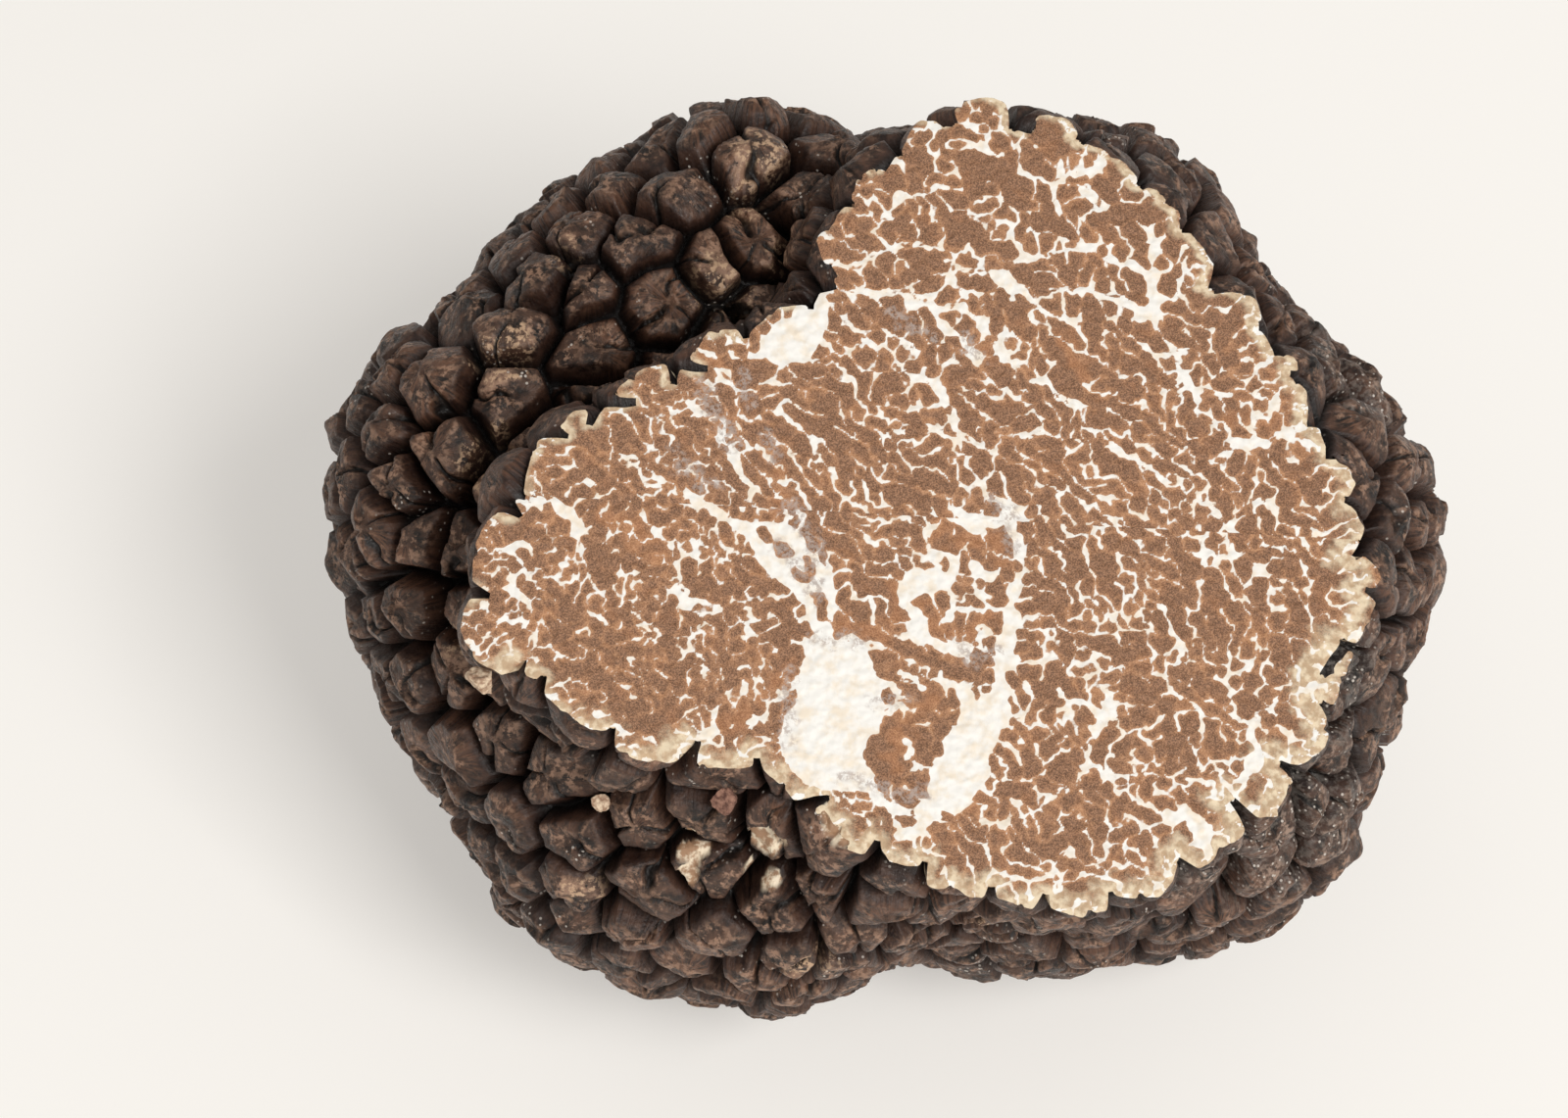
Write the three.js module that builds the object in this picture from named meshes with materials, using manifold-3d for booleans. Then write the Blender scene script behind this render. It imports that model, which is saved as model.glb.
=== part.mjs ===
// An autumn truffle, sliced once: one grown body with a crust of pyramid warts and one flat cut face,
// and the loose crumbs and soil grains that cling to it. Millimetres, +Z up, resting on z = 0.
import * as THREE from "three";
import { ConvexHull } from "three/addons/math/ConvexHull.js";
import { mergeVertices } from "three/addons/utils/BufferGeometryUtils.js";
import Module from "manifold-3d";

// The body is described about a core point inside it. The slice lies CUT_HEIGHT above the core along CUT_NORMAL.
const CUT_NORMAL = new THREE.Vector3(0.2, -0.34, 0.92).normalize();
const CUT_HEIGHT = 20;
const CORE = new THREE.Vector3(-1.88, -0.48, 24.2);
const BELLY_DEPTH = 27;
const LONGEST_REACH = 37;

// Reach of the body from the core's axis every 10 degrees round the cut's normal, counter-clockwise from the right:
// in the plane of the slice, and at the level of the core.
const CUT_REACH = [
  24.3, 23.3, 22.5, 22.0, 21.8, 21.8, 22.4, 23.6, 23.6, 21.9, 19.8, 16.6, 13.8, 13.5, 14.5, 15.4, 17.6, 20.6, 23.4,
  25.4, 27.2, 24.5, 22.9, 19.9, 18.3, 18.9, 20.6, 21.5, 22.4, 24.2, 25.0, 24.5, 24.6, 24.9, 24.8, 25.7,
];
const GIRTH_REACH = [
  33.8, 34.8, 33.2, 30.8, 30.0, 31.8, 31.6, 28.6, 27.0, 26.2, 27.8, 29.6, 28.6, 28.8, 28.8, 29.0, 30.8, 31.0, 29.8,
  28.4, 27.6, 26.6, 27.0, 27.2, 26.2, 25.2, 25.0, 23.2, 21.4, 22.8, 25.0, 27.0, 30.4, 32.2, 31.6, 32.0,
];

// A trench runs beside the rim of the slice. Its depth every 30 degrees round the normal, then its place and width.
const TRENCH_DEPTH = [0, 0, 0, 1.5, 5.5, 6, 3.5, 2.5, 1.5, 0.5, 0, 0];
const TRENCH_OFFSET = THREE.MathUtils.degToRad(14);
const TRENCH_WIDTH = THREE.MathUtils.degToRad(9);

// Warts: closest spacing of their centres, groove depth and apex height from the mean skin, and the share of a wart
// that is its crown. Grooves get shallower close to the slice, so that they notch its edge without running into it.
const WART_SPACING = 3.45;
const GROOVE_DEPTH = 1;
const RIM_GROOVE_DEPTH = 0.55;
const RIM_BAND = 3;
const WART_RISE = 0.9;
const SHOULDER_RISE = 0.25;
const SHOULDER_SHARE = 0.74;
const WART_TRIES = 16000;

// The underside is pressed nearly flat where the truffle rests.
const REST_CLEARANCE = 0.35;
const REST_SOFTNESS = 1.2;

const SKIN = { color: 0x2e2420, roughness: 0.62, metalness: 0 };
const FLESH = { color: 0xc9a98c, roughness: 0.7, metalness: 0 };
const SOIL = { color: 0x6a3f30, roughness: 0.9, metalness: 0 };

// Loose bits that cling to the skin: the polar angle from the cut's normal and the angle round it, in degrees, how far
// the middle of the bit is above the mean skin, its half sizes along, across and out from the skin, and its shape seed.
const LOOSE_BITS = [
  { name: "flesh_crumb", polar: 54.5, angle: -156.5, lift: 1.6, half: [1.25, 1, 0.75], seed: 3, finish: FLESH },
  { name: "soil_grain", polar: 49, angle: -123.5, lift: 1.15, half: [0.95, 1.3, 0.75], seed: 5, finish: SOIL },
  { name: "skin_flake", polar: 62.5, angle: -138, lift: 0.75, half: [0.8, 0.6, 0.28], seed: 11, finish: FLESH },
];
const BIT_ROUGHNESS = 0.28;

const CUT_RIGHT = new THREE.Vector3(1, 0, 0).projectOnPlane(CUT_NORMAL).normalize();
const CUT_UP = new THREE.Vector3().crossVectors(CUT_NORMAL, CUT_RIGHT);
const TURN = 2 * Math.PI;

// Repeatable random numbers from 0 to 1.
function randomSource(seed) {
  let state = seed;
  return () => {
    state = (state + 0x6d2b79f5) | 0;
    let t = Math.imul(state ^ (state >>> 15), 1 | state);
    t = (t + Math.imul(t ^ (t >>> 7), 61 | t)) ^ t;
    return ((t ^ (t >>> 14)) >>> 0) / 4294967296;
  };
}

// A smooth closed curve through values that are spread evenly round a full turn.
function roundTheTurn(values, angle) {
  const place = ((((angle / TURN) % 1) + 1) % 1) * values.length;
  const i = Math.floor(place);
  const t = place - i;
  const at = (k) => values[(i + k + values.length) % values.length];
  const a = -at(-1) + 3 * at(0) - 3 * at(1) + at(2);
  const b = 2 * at(-1) - 5 * at(0) + 4 * at(1) - at(2);
  const c = at(1) - at(-1);
  return at(0) + 0.5 * t * (c + t * (b + t * a));
}

// Distance from the core to the smooth body, along a unit direction.
function reach(direction) {
  const up = direction.dot(CUT_NORMAL);
  const angle = Math.atan2(direction.dot(CUT_UP), direction.dot(CUT_RIGHT));
  const polar = Math.acos(THREE.MathUtils.clamp(up, -1, 1));
  const girth = roundTheTurn(GIRTH_REACH, angle);
  const rim = roundTheTurn(CUT_REACH, angle);
  const crownCurve = (1 - (rim / girth) ** 2) / CUT_HEIGHT ** 2;
  const bellyCurve = 1 / BELLY_DEPTH ** 2;
  const inverse = (Math.sin(polar) / girth) ** 2 + (up > 0 ? crownCurve : bellyCurve) * up ** 2;
  let r = 1 / Math.sqrt(Math.max(inverse, 1 / LONGEST_REACH ** 2));
  const trench = polar - Math.atan2(rim, CUT_HEIGHT) - TRENCH_OFFSET;
  r -= Math.max(0, roundTheTurn(TRENCH_DEPTH, angle)) * Math.exp(-((trench / TRENCH_WIDTH) ** 2));
  if (direction.z < 0) {
    const floor = (CORE.z - REST_CLEARANCE) / -direction.z;
    const blend = Math.hypot(r - floor, REST_SOFTNESS);
    r = 0.5 * (r + floor - blend);
  }
  return r;
}

const onBody = (direction) => direction.clone().multiplyScalar(reach(direction)).add(CORE);

// The smooth body's outward normal, from two small steps across the direction.
function bodyNormal(direction) {
  const step = 0.01;
  const side = new THREE.Vector3(0, 0, 1).cross(direction);
  if (side.length() < 0.1) side.set(1, 0, 0).cross(direction);
  side.normalize();
  const other = new THREE.Vector3().crossVectors(direction, side);
  const difference = (axis) =>
    onBody(direction.clone().addScaledVector(axis, step).normalize()).sub(
      onBody(direction.clone().addScaledVector(axis, -step).normalize()),
    );
  return difference(side).cross(difference(other)).normalize();
}

const lifted = (direction, height) => onBody(direction).addScaledVector(bodyNormal(direction), height);

// The bottom of the groove along a direction.
function grooveBottom(direction) {
  const fromCut = Math.abs(onBody(direction).sub(CORE).dot(CUT_NORMAL) - CUT_HEIGHT);
  const depth = THREE.MathUtils.lerp(RIM_GROOVE_DEPTH, GROOVE_DEPTH, Math.min(fromCut / RIM_BAND, 1));
  return lifted(direction, -depth);
}

// Wart centres, as directions from the core, spread over the body no closer than the spacing.
function wartCentres() {
  const random = randomSource(7);
  const centres = [];
  const places = [];
  for (let i = 0; i < WART_TRIES; i++) {
    const z = 2 * random() - 1;
    const turn = TURN * random();
    const flat = Math.sqrt(1 - z * z);
    const direction = new THREE.Vector3(flat * Math.cos(turn), flat * Math.sin(turn), z);
    const place = onBody(direction);
    const spacing = WART_SPACING * (0.9 + 0.25 * random());
    if (places.every((p) => p.distanceTo(place) > spacing)) {
      centres.push(direction);
      places.push(place);
    }
  }
  return centres;
}

// Triangles that join neighbouring wart centres, each as three indices, counter-clockwise from outside.
function neighbours(centres) {
  const hull = new ConvexHull().setFromPoints(centres);
  const index = new Map(centres.map((c, i) => [c, i]));
  return hull.faces.map((face) => {
    const corners = [];
    let edge = face.edge;
    do {
      corners.push(index.get(edge.head().point));
      edge = edge.next;
    } while (edge !== face.edge);
    return corners;
  });
}

// The direction where three grooves meet, inside the triangle of three wart centres.
function junction(a, b, c) {
  const sides = [b.distanceToSquared(c), c.distanceToSquared(a), a.distanceToSquared(b)];
  const [p, q, r] = sides;
  const weights = [p * (q + r - p), q * (r + p - q), r * (p + q - r)];
  const total = weights[0] + weights[1] + weights[2];
  const share = weights.map((w) => 0.55 * THREE.MathUtils.clamp(w / total, 0.05, 0.9) + 0.45 / 3);
  return new THREE.Vector3()
    .addScaledVector(a, share[0])
    .addScaledVector(b, share[1])
    .addScaledVector(c, share[2])
    .normalize();
}

// Groove junctions round each wart, in order.
function wartCells(centres, triangles) {
  const next = centres.map(() => new Map());
  triangles.forEach((corners, t) =>
    corners.forEach((i, k) => next[i].set(corners[(k + 1) % 3], { t, to: corners[(k + 2) % 3] })),
  );
  return next.map((links) => {
    const cell = [];
    let at = links.keys().next().value;
    for (let k = 0; k < links.size; k++) {
      const { t, to } = links.get(at);
      cell.push(t);
      at = to;
    }
    return cell;
  });
}

// The whole warted body before it is sliced: a groove ring, a shoulder ring and an apex for each wart.
function wartedBody() {
  let centres = wartCentres();
  let triangles = neighbours(centres);
  for (let round = 0; round < 2; round++) {
    const junctions = triangles.map(([a, b, c]) => junction(centres[a], centres[b], centres[c]));
    centres = wartCells(centres, triangles).map((cell, i) => {
      const middle = new THREE.Vector3();
      cell.forEach((t) => middle.addScaledVector(junctions[t], 1 / cell.length));
      return centres[i].clone().lerp(middle, 0.6).normalize();
    });
    triangles = neighbours(centres);
  }
  const random = randomSource(23);
  const positions = [];
  const faces = [];
  const place = (p) => positions.push(p.x, p.y, p.z) / 3 - 1;
  const junctions = triangles.map(([a, b, c]) => junction(centres[a], centres[b], centres[c]));
  const grooves = junctions.map((d) => place(grooveBottom(d)));
  wartCells(centres, triangles).forEach((cell, i) => {
    const rise = WART_RISE * (0.7 + 0.6 * random());
    const lean = junctions[cell[Math.floor(random() * cell.length)]];
    const apex = place(lifted(centres[i].clone().lerp(lean, 0.15).normalize(), rise));
    const ring = cell.map((t) => {
      const share = SHOULDER_SHARE * (0.94 + 0.1 * random());
      const d = centres[i].clone().lerp(junctions[t], share).normalize();
      return place(lifted(d, SHOULDER_RISE * (0.4 + 1.2 * random())));
    });
    cell.forEach((t, k) => {
      const j = (k + 1) % cell.length;
      faces.push(grooves[t], grooves[cell[j]], ring[j], grooves[t], ring[j], ring[k], ring[k], ring[j], apex);
    });
  });
  const geometry = new THREE.BufferGeometry();
  geometry.setAttribute("position", new THREE.Float32BufferAttribute(positions, 3));
  geometry.setIndex(faces);
  return geometry;
}

const wasm = await Module();
wasm.setup();

// A closed three.js geometry as a manifold-3d solid, and back.
function toSolid(geometry) {
  const bare = new THREE.BufferGeometry().setAttribute("position", geometry.getAttribute("position"));
  if (geometry.index) bare.setIndex(geometry.index);
  const merged = mergeVertices(bare, 1e-4);
  return new wasm.Manifold(
    new wasm.Mesh({
      numProp: 3,
      vertProperties: merged.attributes.position.array,
      triVerts: new Uint32Array(merged.index.array),
    }),
  );
}

function toGeometry(solid) {
  const mesh = solid.getMesh();
  const geometry = new THREE.BufferGeometry();
  geometry.setAttribute("position", new THREE.BufferAttribute(mesh.vertProperties.slice(), 3));
  geometry.setIndex(new THREE.BufferAttribute(mesh.triVerts.slice(), 1));
  geometry.computeVertexNormals();
  return geometry;
}

// A block that fills everything above a plane through a point.
function blockAbove(point, normal) {
  const size = 200;
  const block = new THREE.BoxGeometry(size, size, size);
  const turn = new THREE.Quaternion().setFromUnitVectors(new THREE.Vector3(0, 0, 1), normal);
  block.applyQuaternion(turn);
  const middle = point.clone().addScaledVector(normal, size / 2);
  return block.translate(middle.x, middle.y, middle.z);
}

function truffle() {
  const cutPoint = CORE.clone().addScaledVector(CUT_NORMAL, CUT_HEIGHT);
  const ground = new THREE.Vector3(0, 0, 0);
  const solid = toSolid(wartedBody())
    .subtract(toSolid(blockAbove(cutPoint, CUT_NORMAL)))
    .subtract(toSolid(blockAbove(ground, new THREE.Vector3(0, 0, -1))));
  const mesh = new THREE.Mesh(toGeometry(solid), new THREE.MeshStandardMaterial(SKIN));
  mesh.name = "truffle";
  return mesh;
}

// A small broken lump, seated on the skin.
function looseBit({ name, polar, angle, lift, half, seed, finish }) {
  const random = randomSource(seed);
  const bare = new THREE.BufferGeometry();
  bare.setAttribute("position", new THREE.IcosahedronGeometry(1, 1).getAttribute("position"));
  const geometry = mergeVertices(bare, 1e-4);
  const position = geometry.getAttribute("position");
  for (let i = 0; i < position.count; i++) {
    const stretch = 1 - BIT_ROUGHNESS * random();
    position.setXYZ(i, ...[0, 1, 2].map((k) => position.getComponent(i, k) * stretch * half[k]));
  }
  geometry.computeVertexNormals();
  const tilt = THREE.MathUtils.degToRad(polar);
  const turn = THREE.MathUtils.degToRad(angle);
  const direction = CUT_NORMAL.clone()
    .multiplyScalar(Math.cos(tilt))
    .addScaledVector(CUT_RIGHT, Math.sin(tilt) * Math.cos(turn))
    .addScaledVector(CUT_UP, Math.sin(tilt) * Math.sin(turn));
  const mesh = new THREE.Mesh(geometry, new THREE.MeshStandardMaterial(finish));
  mesh.name = name;
  mesh.position.copy(lifted(direction, lift));
  mesh.quaternion.setFromUnitVectors(new THREE.Vector3(0, 0, 1), bodyNormal(direction));
  return mesh;
}

const group = new THREE.Group();
group.add(truffle(), ...LOOSE_BITS.map(looseBit));
export default group;
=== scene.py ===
"""An autumn truffle, sliced once and resting on its belly: a crust of pyramid warts, the veined flesh of the
slice, and the crumbs that cling to the skin. Shapes are worked out in millimetres and written in metres."""

import math

import bmesh
import bpy
import numpy as np
from mathutils import Matrix, Vector, kdtree


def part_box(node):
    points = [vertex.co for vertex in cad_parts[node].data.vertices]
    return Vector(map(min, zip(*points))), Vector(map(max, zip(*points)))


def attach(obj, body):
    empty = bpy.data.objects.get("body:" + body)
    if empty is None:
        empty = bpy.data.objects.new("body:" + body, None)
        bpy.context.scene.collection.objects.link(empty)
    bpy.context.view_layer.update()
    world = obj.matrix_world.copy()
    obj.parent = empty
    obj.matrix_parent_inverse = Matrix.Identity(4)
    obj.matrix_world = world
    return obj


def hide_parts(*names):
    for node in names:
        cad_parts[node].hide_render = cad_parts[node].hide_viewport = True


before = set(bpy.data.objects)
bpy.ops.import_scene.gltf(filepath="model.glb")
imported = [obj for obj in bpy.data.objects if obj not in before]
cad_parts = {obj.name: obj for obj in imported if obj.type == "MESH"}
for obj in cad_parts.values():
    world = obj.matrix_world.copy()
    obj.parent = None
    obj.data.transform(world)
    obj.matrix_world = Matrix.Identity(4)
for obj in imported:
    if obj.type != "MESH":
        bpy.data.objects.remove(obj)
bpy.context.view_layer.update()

MM = 0.001
TURN = 2 * math.pi

# -------------------------------- the grown body
CUT_NORMAL = np.array([0.2, -0.34, 0.92])
CUT_NORMAL /= np.linalg.norm(CUT_NORMAL)
CUT_RIGHT = np.array([1.0, 0.0, 0.0]) - CUT_NORMAL[0] * CUT_NORMAL
CUT_RIGHT /= np.linalg.norm(CUT_RIGHT)
CUT_UP = np.cross(CUT_NORMAL, CUT_RIGHT)
CUT_HEIGHT = 20.0
CORE = np.array([-1.88, -0.48, 24.2])
CUT_CENTRE = CORE + CUT_HEIGHT * CUT_NORMAL
BELLY_DEPTH = 27.0
LONGEST_REACH = 37.0
REST_CLEARANCE = 0.35
REST_SOFTNESS = 1.2

# reach of the slice and of the girth every 10 degrees round the cut's normal, and depth of the trench beside
# the slice every 30 degrees
CUT_REACH = [
    24.3, 23.3, 22.5, 22.0, 21.8, 21.8, 22.4, 23.6, 23.6, 21.9, 19.8, 16.6,
    13.8, 13.5, 14.5, 15.4, 17.6, 20.6, 23.4, 25.4, 27.2, 24.5, 22.9, 19.9,
    18.3, 18.9, 20.6, 21.5, 22.4, 24.2, 25.0, 24.5, 24.6, 24.9, 24.8, 25.7,
]
GIRTH_REACH = [
    33.8, 34.8, 33.2, 30.8, 30.0, 31.8, 31.6, 28.6, 27.0, 26.2, 27.8, 29.6,
    28.6, 28.8, 28.8, 29.0, 30.8, 31.0, 29.8, 28.4, 27.6, 26.6, 27.0, 27.2,
    26.2, 25.2, 25.0, 23.2, 21.4, 22.8, 25.0, 27.0, 30.4, 32.2, 31.6, 32.0,
]
TRENCH_DEPTH = [0, 0, 0, 1.5, 5.5, 6, 3.5, 2.5, 1.5, 0.5, 0, 0]
TRENCH_OFFSET = math.radians(14)
TRENCH_WIDTH = math.radians(9)
# half the step, as a share of the reach, over which the body's slope is measured
SLOPE_STEP = 0.01


def between(p, q, r, s, t):
    """The place a share t of the way from q to r, on the smooth curve through p, q, r and s."""
    return q + 0.5 * t * (r - p + t * (2 * p - 5 * q + 4 * r - s + t * (3 * q - p - 3 * r + s)))


def round_the_turn(values, angle):
    """A smooth closed curve through values spread evenly round a full turn."""
    values = np.asarray(values, float)
    place = (angle / TURN % 1) * len(values)
    i = np.floor(place).astype(int)
    return between(*(values[(i + k) % len(values)] for k in (-1, 0, 1, 2)), place - i)


def reach(d):
    """Distance from the core to the smooth body, along unit directions."""
    up = d @ CUT_NORMAL
    angle = np.arctan2(d @ CUT_UP, d @ CUT_RIGHT)
    polar = np.arccos(np.clip(up, -1, 1))
    girth = round_the_turn(GIRTH_REACH, angle)
    rim = round_the_turn(CUT_REACH, angle)
    crown = (1 - (rim / girth) ** 2) / CUT_HEIGHT**2
    inverse = (np.sin(polar) / girth) ** 2 + np.where(up > 0, crown, 1 / BELLY_DEPTH**2) * up**2
    r = 1 / np.sqrt(np.maximum(inverse, 1 / LONGEST_REACH**2))
    trench = (polar - np.arctan2(rim, CUT_HEIGHT) - TRENCH_OFFSET) / TRENCH_WIDTH
    r = r - np.maximum(0, round_the_turn(TRENCH_DEPTH, angle)) * np.exp(-(trench**2))
    down = np.minimum(d[:, 2], -1e-6)
    floor = (CORE[2] - REST_CLEARANCE) / -down
    pressed = 0.5 * (r + floor - np.hypot(r - floor, REST_SOFTNESS))
    return np.where(d[:, 2] < 0, pressed, r)


def unit(v):
    return v / np.linalg.norm(v, axis=-1, keepdims=True)


def on_body(d):
    return CORE + d * reach(d)[:, None]


def body_normal(d):
    side = np.cross([0.0, 0.0, 1.0], d)
    upright = np.linalg.norm(side, axis=1) < 0.1
    side[upright] = np.cross([1.0, 0.0, 0.0], d[upright])
    side = unit(side)
    other = np.cross(d, side)

    def slope(axis):
        return on_body(unit(d + axis * SLOPE_STEP)) - on_body(unit(d - axis * SLOPE_STEP))

    return unit(np.cross(slope(side), slope(other)))


# large odd numbers that scramble whole numbers into random ones
SCRAMBLE = np.array([374761393, 668265263, 2147483647])
SCRAMBLE_AGAIN = 1274126177
SEED_SHIFT = 17.13


def ease(x, low, high):
    """0 below low, 1 above high, smooth between them."""
    t = np.clip((x - low) / (high - low), 0, 1)
    return t * t * (3 - 2 * t)


def lumps(p, size, seed):
    """Smooth random lumps of about that size, from -1 to 1, at points in millimetres."""
    q = p / size + seed * SEED_SHIFT
    cell = np.floor(q).astype(np.int64)
    t = ease(q - cell, 0, 1)
    total = 0
    for corner in np.ndindex(2, 2, 2):
        n = (cell + corner) @ SCRAMBLE
        n = (n ^ (n >> 13)) * SCRAMBLE_AGAIN
        n = ((n ^ (n >> 16)) & 0xFFFFFF) / 0xFFFFFF * 2 - 1
        w = np.where(corner, t, 1 - t)
        total = total + n * (w[:, 0] * w[:, 1]) * w[:, 2]
    return total


# -------------------------------- steps on meshes
def mesh_points(mesh):
    flat = np.empty(len(mesh.vertices) * 3, np.float32)
    mesh.vertices.foreach_get("co", flat)
    return flat.reshape(-1, 3).astype(float)


def points_of(bm):
    return np.array([v.co for v in bm.verts], float)


def move_points(bm, places):
    for v, p in zip(bm.verts, places):
        v.co = p


def delete_points(bm, gone):
    bmesh.ops.delete(bm, geom=[v for v, g in zip(bm.verts, gone) if g], context="VERTS")


def delete_loose(bm):
    bmesh.ops.delete(bm, geom=[v for v in bm.verts if not v.link_faces], context="VERTS")


def as_mesh(bm, name):
    mesh = bpy.data.meshes.new(name)
    bm.to_mesh(mesh)
    bm.free()
    return mesh


def from_mesh(mesh):
    bm = bmesh.new()
    bm.from_mesh(mesh)
    return bm


def write_attribute(mesh, name, values):
    kind, field = ("FLOAT_VECTOR", "vector") if values.ndim == 2 else ("FLOAT", "value")
    attribute = mesh.attributes.new(name, kind, "POINT")
    attribute.data.foreach_set(field, np.ascontiguousarray(values, np.float32).ravel())


def in_scene(name, data):
    thing = bpy.data.objects.new(name, data)
    bpy.context.scene.collection.objects.link(thing)
    return thing


def finished(mesh, name, material):
    mesh.materials.clear()
    mesh.materials.append(material)
    mesh.polygons.foreach_set("use_smooth", np.ones(len(mesh.polygons), bool))
    return in_scene(name, mesh)


# -------------------------------- the warts
WART_GAP = 3.05
GROOVE_DEPTH = 2.0
WALL_SLOPE = 4.2
RIM_BAND = 3.0
RIM_CALM = 0.65
WART_RISE = 1.12
NEIGHBOURS = 6
TOP_PLANES = 3
TOP_DOME = 0.05
CRACKS = 3
# how far a wart's top stands off the smooth body at least, and how many places are tried for more warts
TOP_PROUD = 0.5
TRIES = 14000
# a direction that no wart points along, to turn each wart's own axes from
ASIDE = [0.13, 0.31, 0.94]


def wart_sites():
    """Wart tops: those of the frame's body, and more where the slice or the ground has taken them away."""
    co = np.unique((mesh_points(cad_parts["truffle"].data) / MM).round(3), axis=0)
    d = unit(co - CORE)
    proud = (np.linalg.norm(co - CORE, axis=1) - reach(d)) * np.abs((d * body_normal(d)).sum(1))
    below_cut = (co - CUT_CENTRE) @ CUT_NORMAL < -0.05
    d = d[(proud > TOP_PROUD) & below_cut & (co[:, 2] > 0.05)]
    draw = np.random.default_rng(5)
    tries = unit(draw.normal(size=(TRIES, 3)))
    seats, extra = list(on_body(d)), []
    for direction, seat in zip(tries, on_body(tries)):
        if np.min(((np.array(seats) - seat) ** 2).sum(1)) > WART_GAP**2:
            seats.append(seat)
            extra.append(direction)
    return np.vstack([d, extra])


site_way = wart_sites()
site = on_body(site_way)
site_out = body_normal(site_way)
site_side = unit(np.cross(site_out, ASIDE))
site_other = np.cross(site_out, site_side)
WARTS = len(site)
draw = np.random.default_rng(11)
wart_rise = WART_RISE * draw.uniform(0.55, 1.4, WARTS)
wart_tone = draw.uniform(0, 1, WARTS)
wart_weight = draw.normal(0, 1.1, WARTS).clip(-2.4, 2.4)
wart_cave = np.where(draw.uniform(0, 1, WARTS) < 0.25, draw.uniform(0.2, 0.6, WARTS), 0)
crack_count = draw.choice([0, 1, 2, 3], WARTS, p=[0.04, 0.18, 0.34, 0.44])
crack_turn = draw.uniform(0, TURN, (WARTS, 1))
crack_turn = crack_turn + np.arange(CRACKS) * TURN / np.maximum(crack_count, 2)[:, None]
crack_turn += draw.normal(0, 0.35, (WARTS, CRACKS))
crack_deep = draw.uniform(0.55, 1.4, (WARTS, CRACKS)) * (np.arange(CRACKS) < crack_count[:, None])
crack_step = draw.uniform(-0.1, 0.55, (WARTS, CRACKS)) * (crack_deep > 0)
top_turn = draw.uniform(0, TURN, (WARTS, 1)) + np.arange(TOP_PLANES) * TURN / TOP_PLANES
top_turn += draw.normal(0, 0.5, (WARTS, TOP_PLANES))
top_tilt = np.tan(np.radians(draw.uniform(6, 30, (WARTS, TOP_PLANES))))
top_level = draw.uniform(0.8, 1.15, (WARTS, TOP_PLANES))


def toward(polar, angle):
    """A direction from the core, by its angle from the cut's normal and its turn round it, in degrees."""
    tilt, turn = math.radians(polar), math.radians(angle)
    flat = math.cos(turn) * CUT_RIGHT + math.sin(turn) * CUT_UP
    return math.cos(tilt) * CUT_NORMAL + math.sin(tilt) * flat


# marks on the skin, each by its direction and its radius in millimetres: broken tops that show pale flesh,
# tan scars, and dusty places that also carry a painted sheen, which makes the skin paler on the right
CHIPS = [(59.7, -123.2, 1.25), (52, -114.4, 1.15), (57.8, -111.7, 1.15), (44, -106, 1.1), (63.5, -121.5, 0.7)]
SCARS = [
    (53, 127.4, 2.2), (51.2, 113.8, 1.6), (64.4, 157.7, 2.2), (63.2, 172.1, 2.4), (58.4, 115.1, 1.8),
    (62.2, 110, 1.8), (66, 140, 1.5), (70, -165, 1.6), (75, -130, 1.6), (72, -100, 1.8), (66, -75, 1.6),
]
DUST_AND_SHEEN_MARKS = [(49.9, -22.9, 5.5), (55.7, -43.3, 5.5), (66, -36, 5), (62, 20, 4)]
CHIP_DEPTH = 0.4


def marked(seat, marks, ragged):
    """How far inside the nearest of these marks each point is, in millimetres, with ragged edges."""
    inside = np.full(len(seat), -2.0)
    for polar, angle, radius in marks:
        middle = on_body(toward(polar, angle)[None])[0]
        inside = np.maximum(inside, radius - np.linalg.norm(seat - middle, axis=1))
    return inside + ragged * (lumps(seat, 0.9, 71) + 0.6 * lumps(seat, 0.4, 72))


# the skin is kept in parts that meet in the grooves, each with the warts that point most its way
SKIN_PARTS = {
    "skin_left": (-0.9, -0.2, 0.35),
    "skin_front": (-0.25, -0.9, 0.1),
    "skin_right": (0.85, -0.35, 0.05),
    "skin_crown": (-0.35, 0.5, 0.8),
    "skin_back": (0.2, 0.75, -0.6),
}
PART_OF_WART = np.argmax(site_way @ unit(np.array(list(SKIN_PARTS.values()))).T, axis=1)
POINTS_AT_ONCE = 20000


def nearest_warts(p):
    """The wart that each point is on, its neighbours, and the distance to the groove towards each of them."""
    home = np.empty(len(p), int)
    beside, edges = np.empty((len(p), NEIGHBOURS), int), np.empty((len(p), NEIGHBOURS))
    for start in range(0, len(p), POINTS_AT_ONCE):
        rows = slice(start, start + POINTS_AT_ONCE)
        part = p[rows]
        far = (part**2).sum(1)[:, None] + (site**2).sum(1)[None, :] - 2 * part @ site.T - wart_weight[None, :]
        near = np.argpartition(far, NEIGHBOURS + 1, axis=1)[:, : NEIGHBOURS + 1]
        away = np.take_along_axis(far, near, 1)
        order = np.argsort(away, axis=1)
        near, away = np.take_along_axis(near, order, 1), np.take_along_axis(away, order, 1)
        home[rows], beside[rows] = near[:, 0], near[:, 1:]
        apart = np.linalg.norm(site[near[:, 1:]] - site[near[:, 0]][:, None, :], axis=2)
        edges[rows] = (away[:, 1:] - away[:, :1]) / (2 * apart)
    return home, beside, edges


def pair_random(a, b, seed):
    """A steady random number from 0 to 1 for each pair of warts."""
    n = (a * 7919 + b * 104729 + seed * 1299709) & 0x7FFFFFFF
    n = (n ^ (n >> 11)) * SCRAMBLE_AGAIN & 0x7FFFFFFF
    return ((n ^ (n >> 15)) & 0xFFFF) / 0xFFFF


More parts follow.
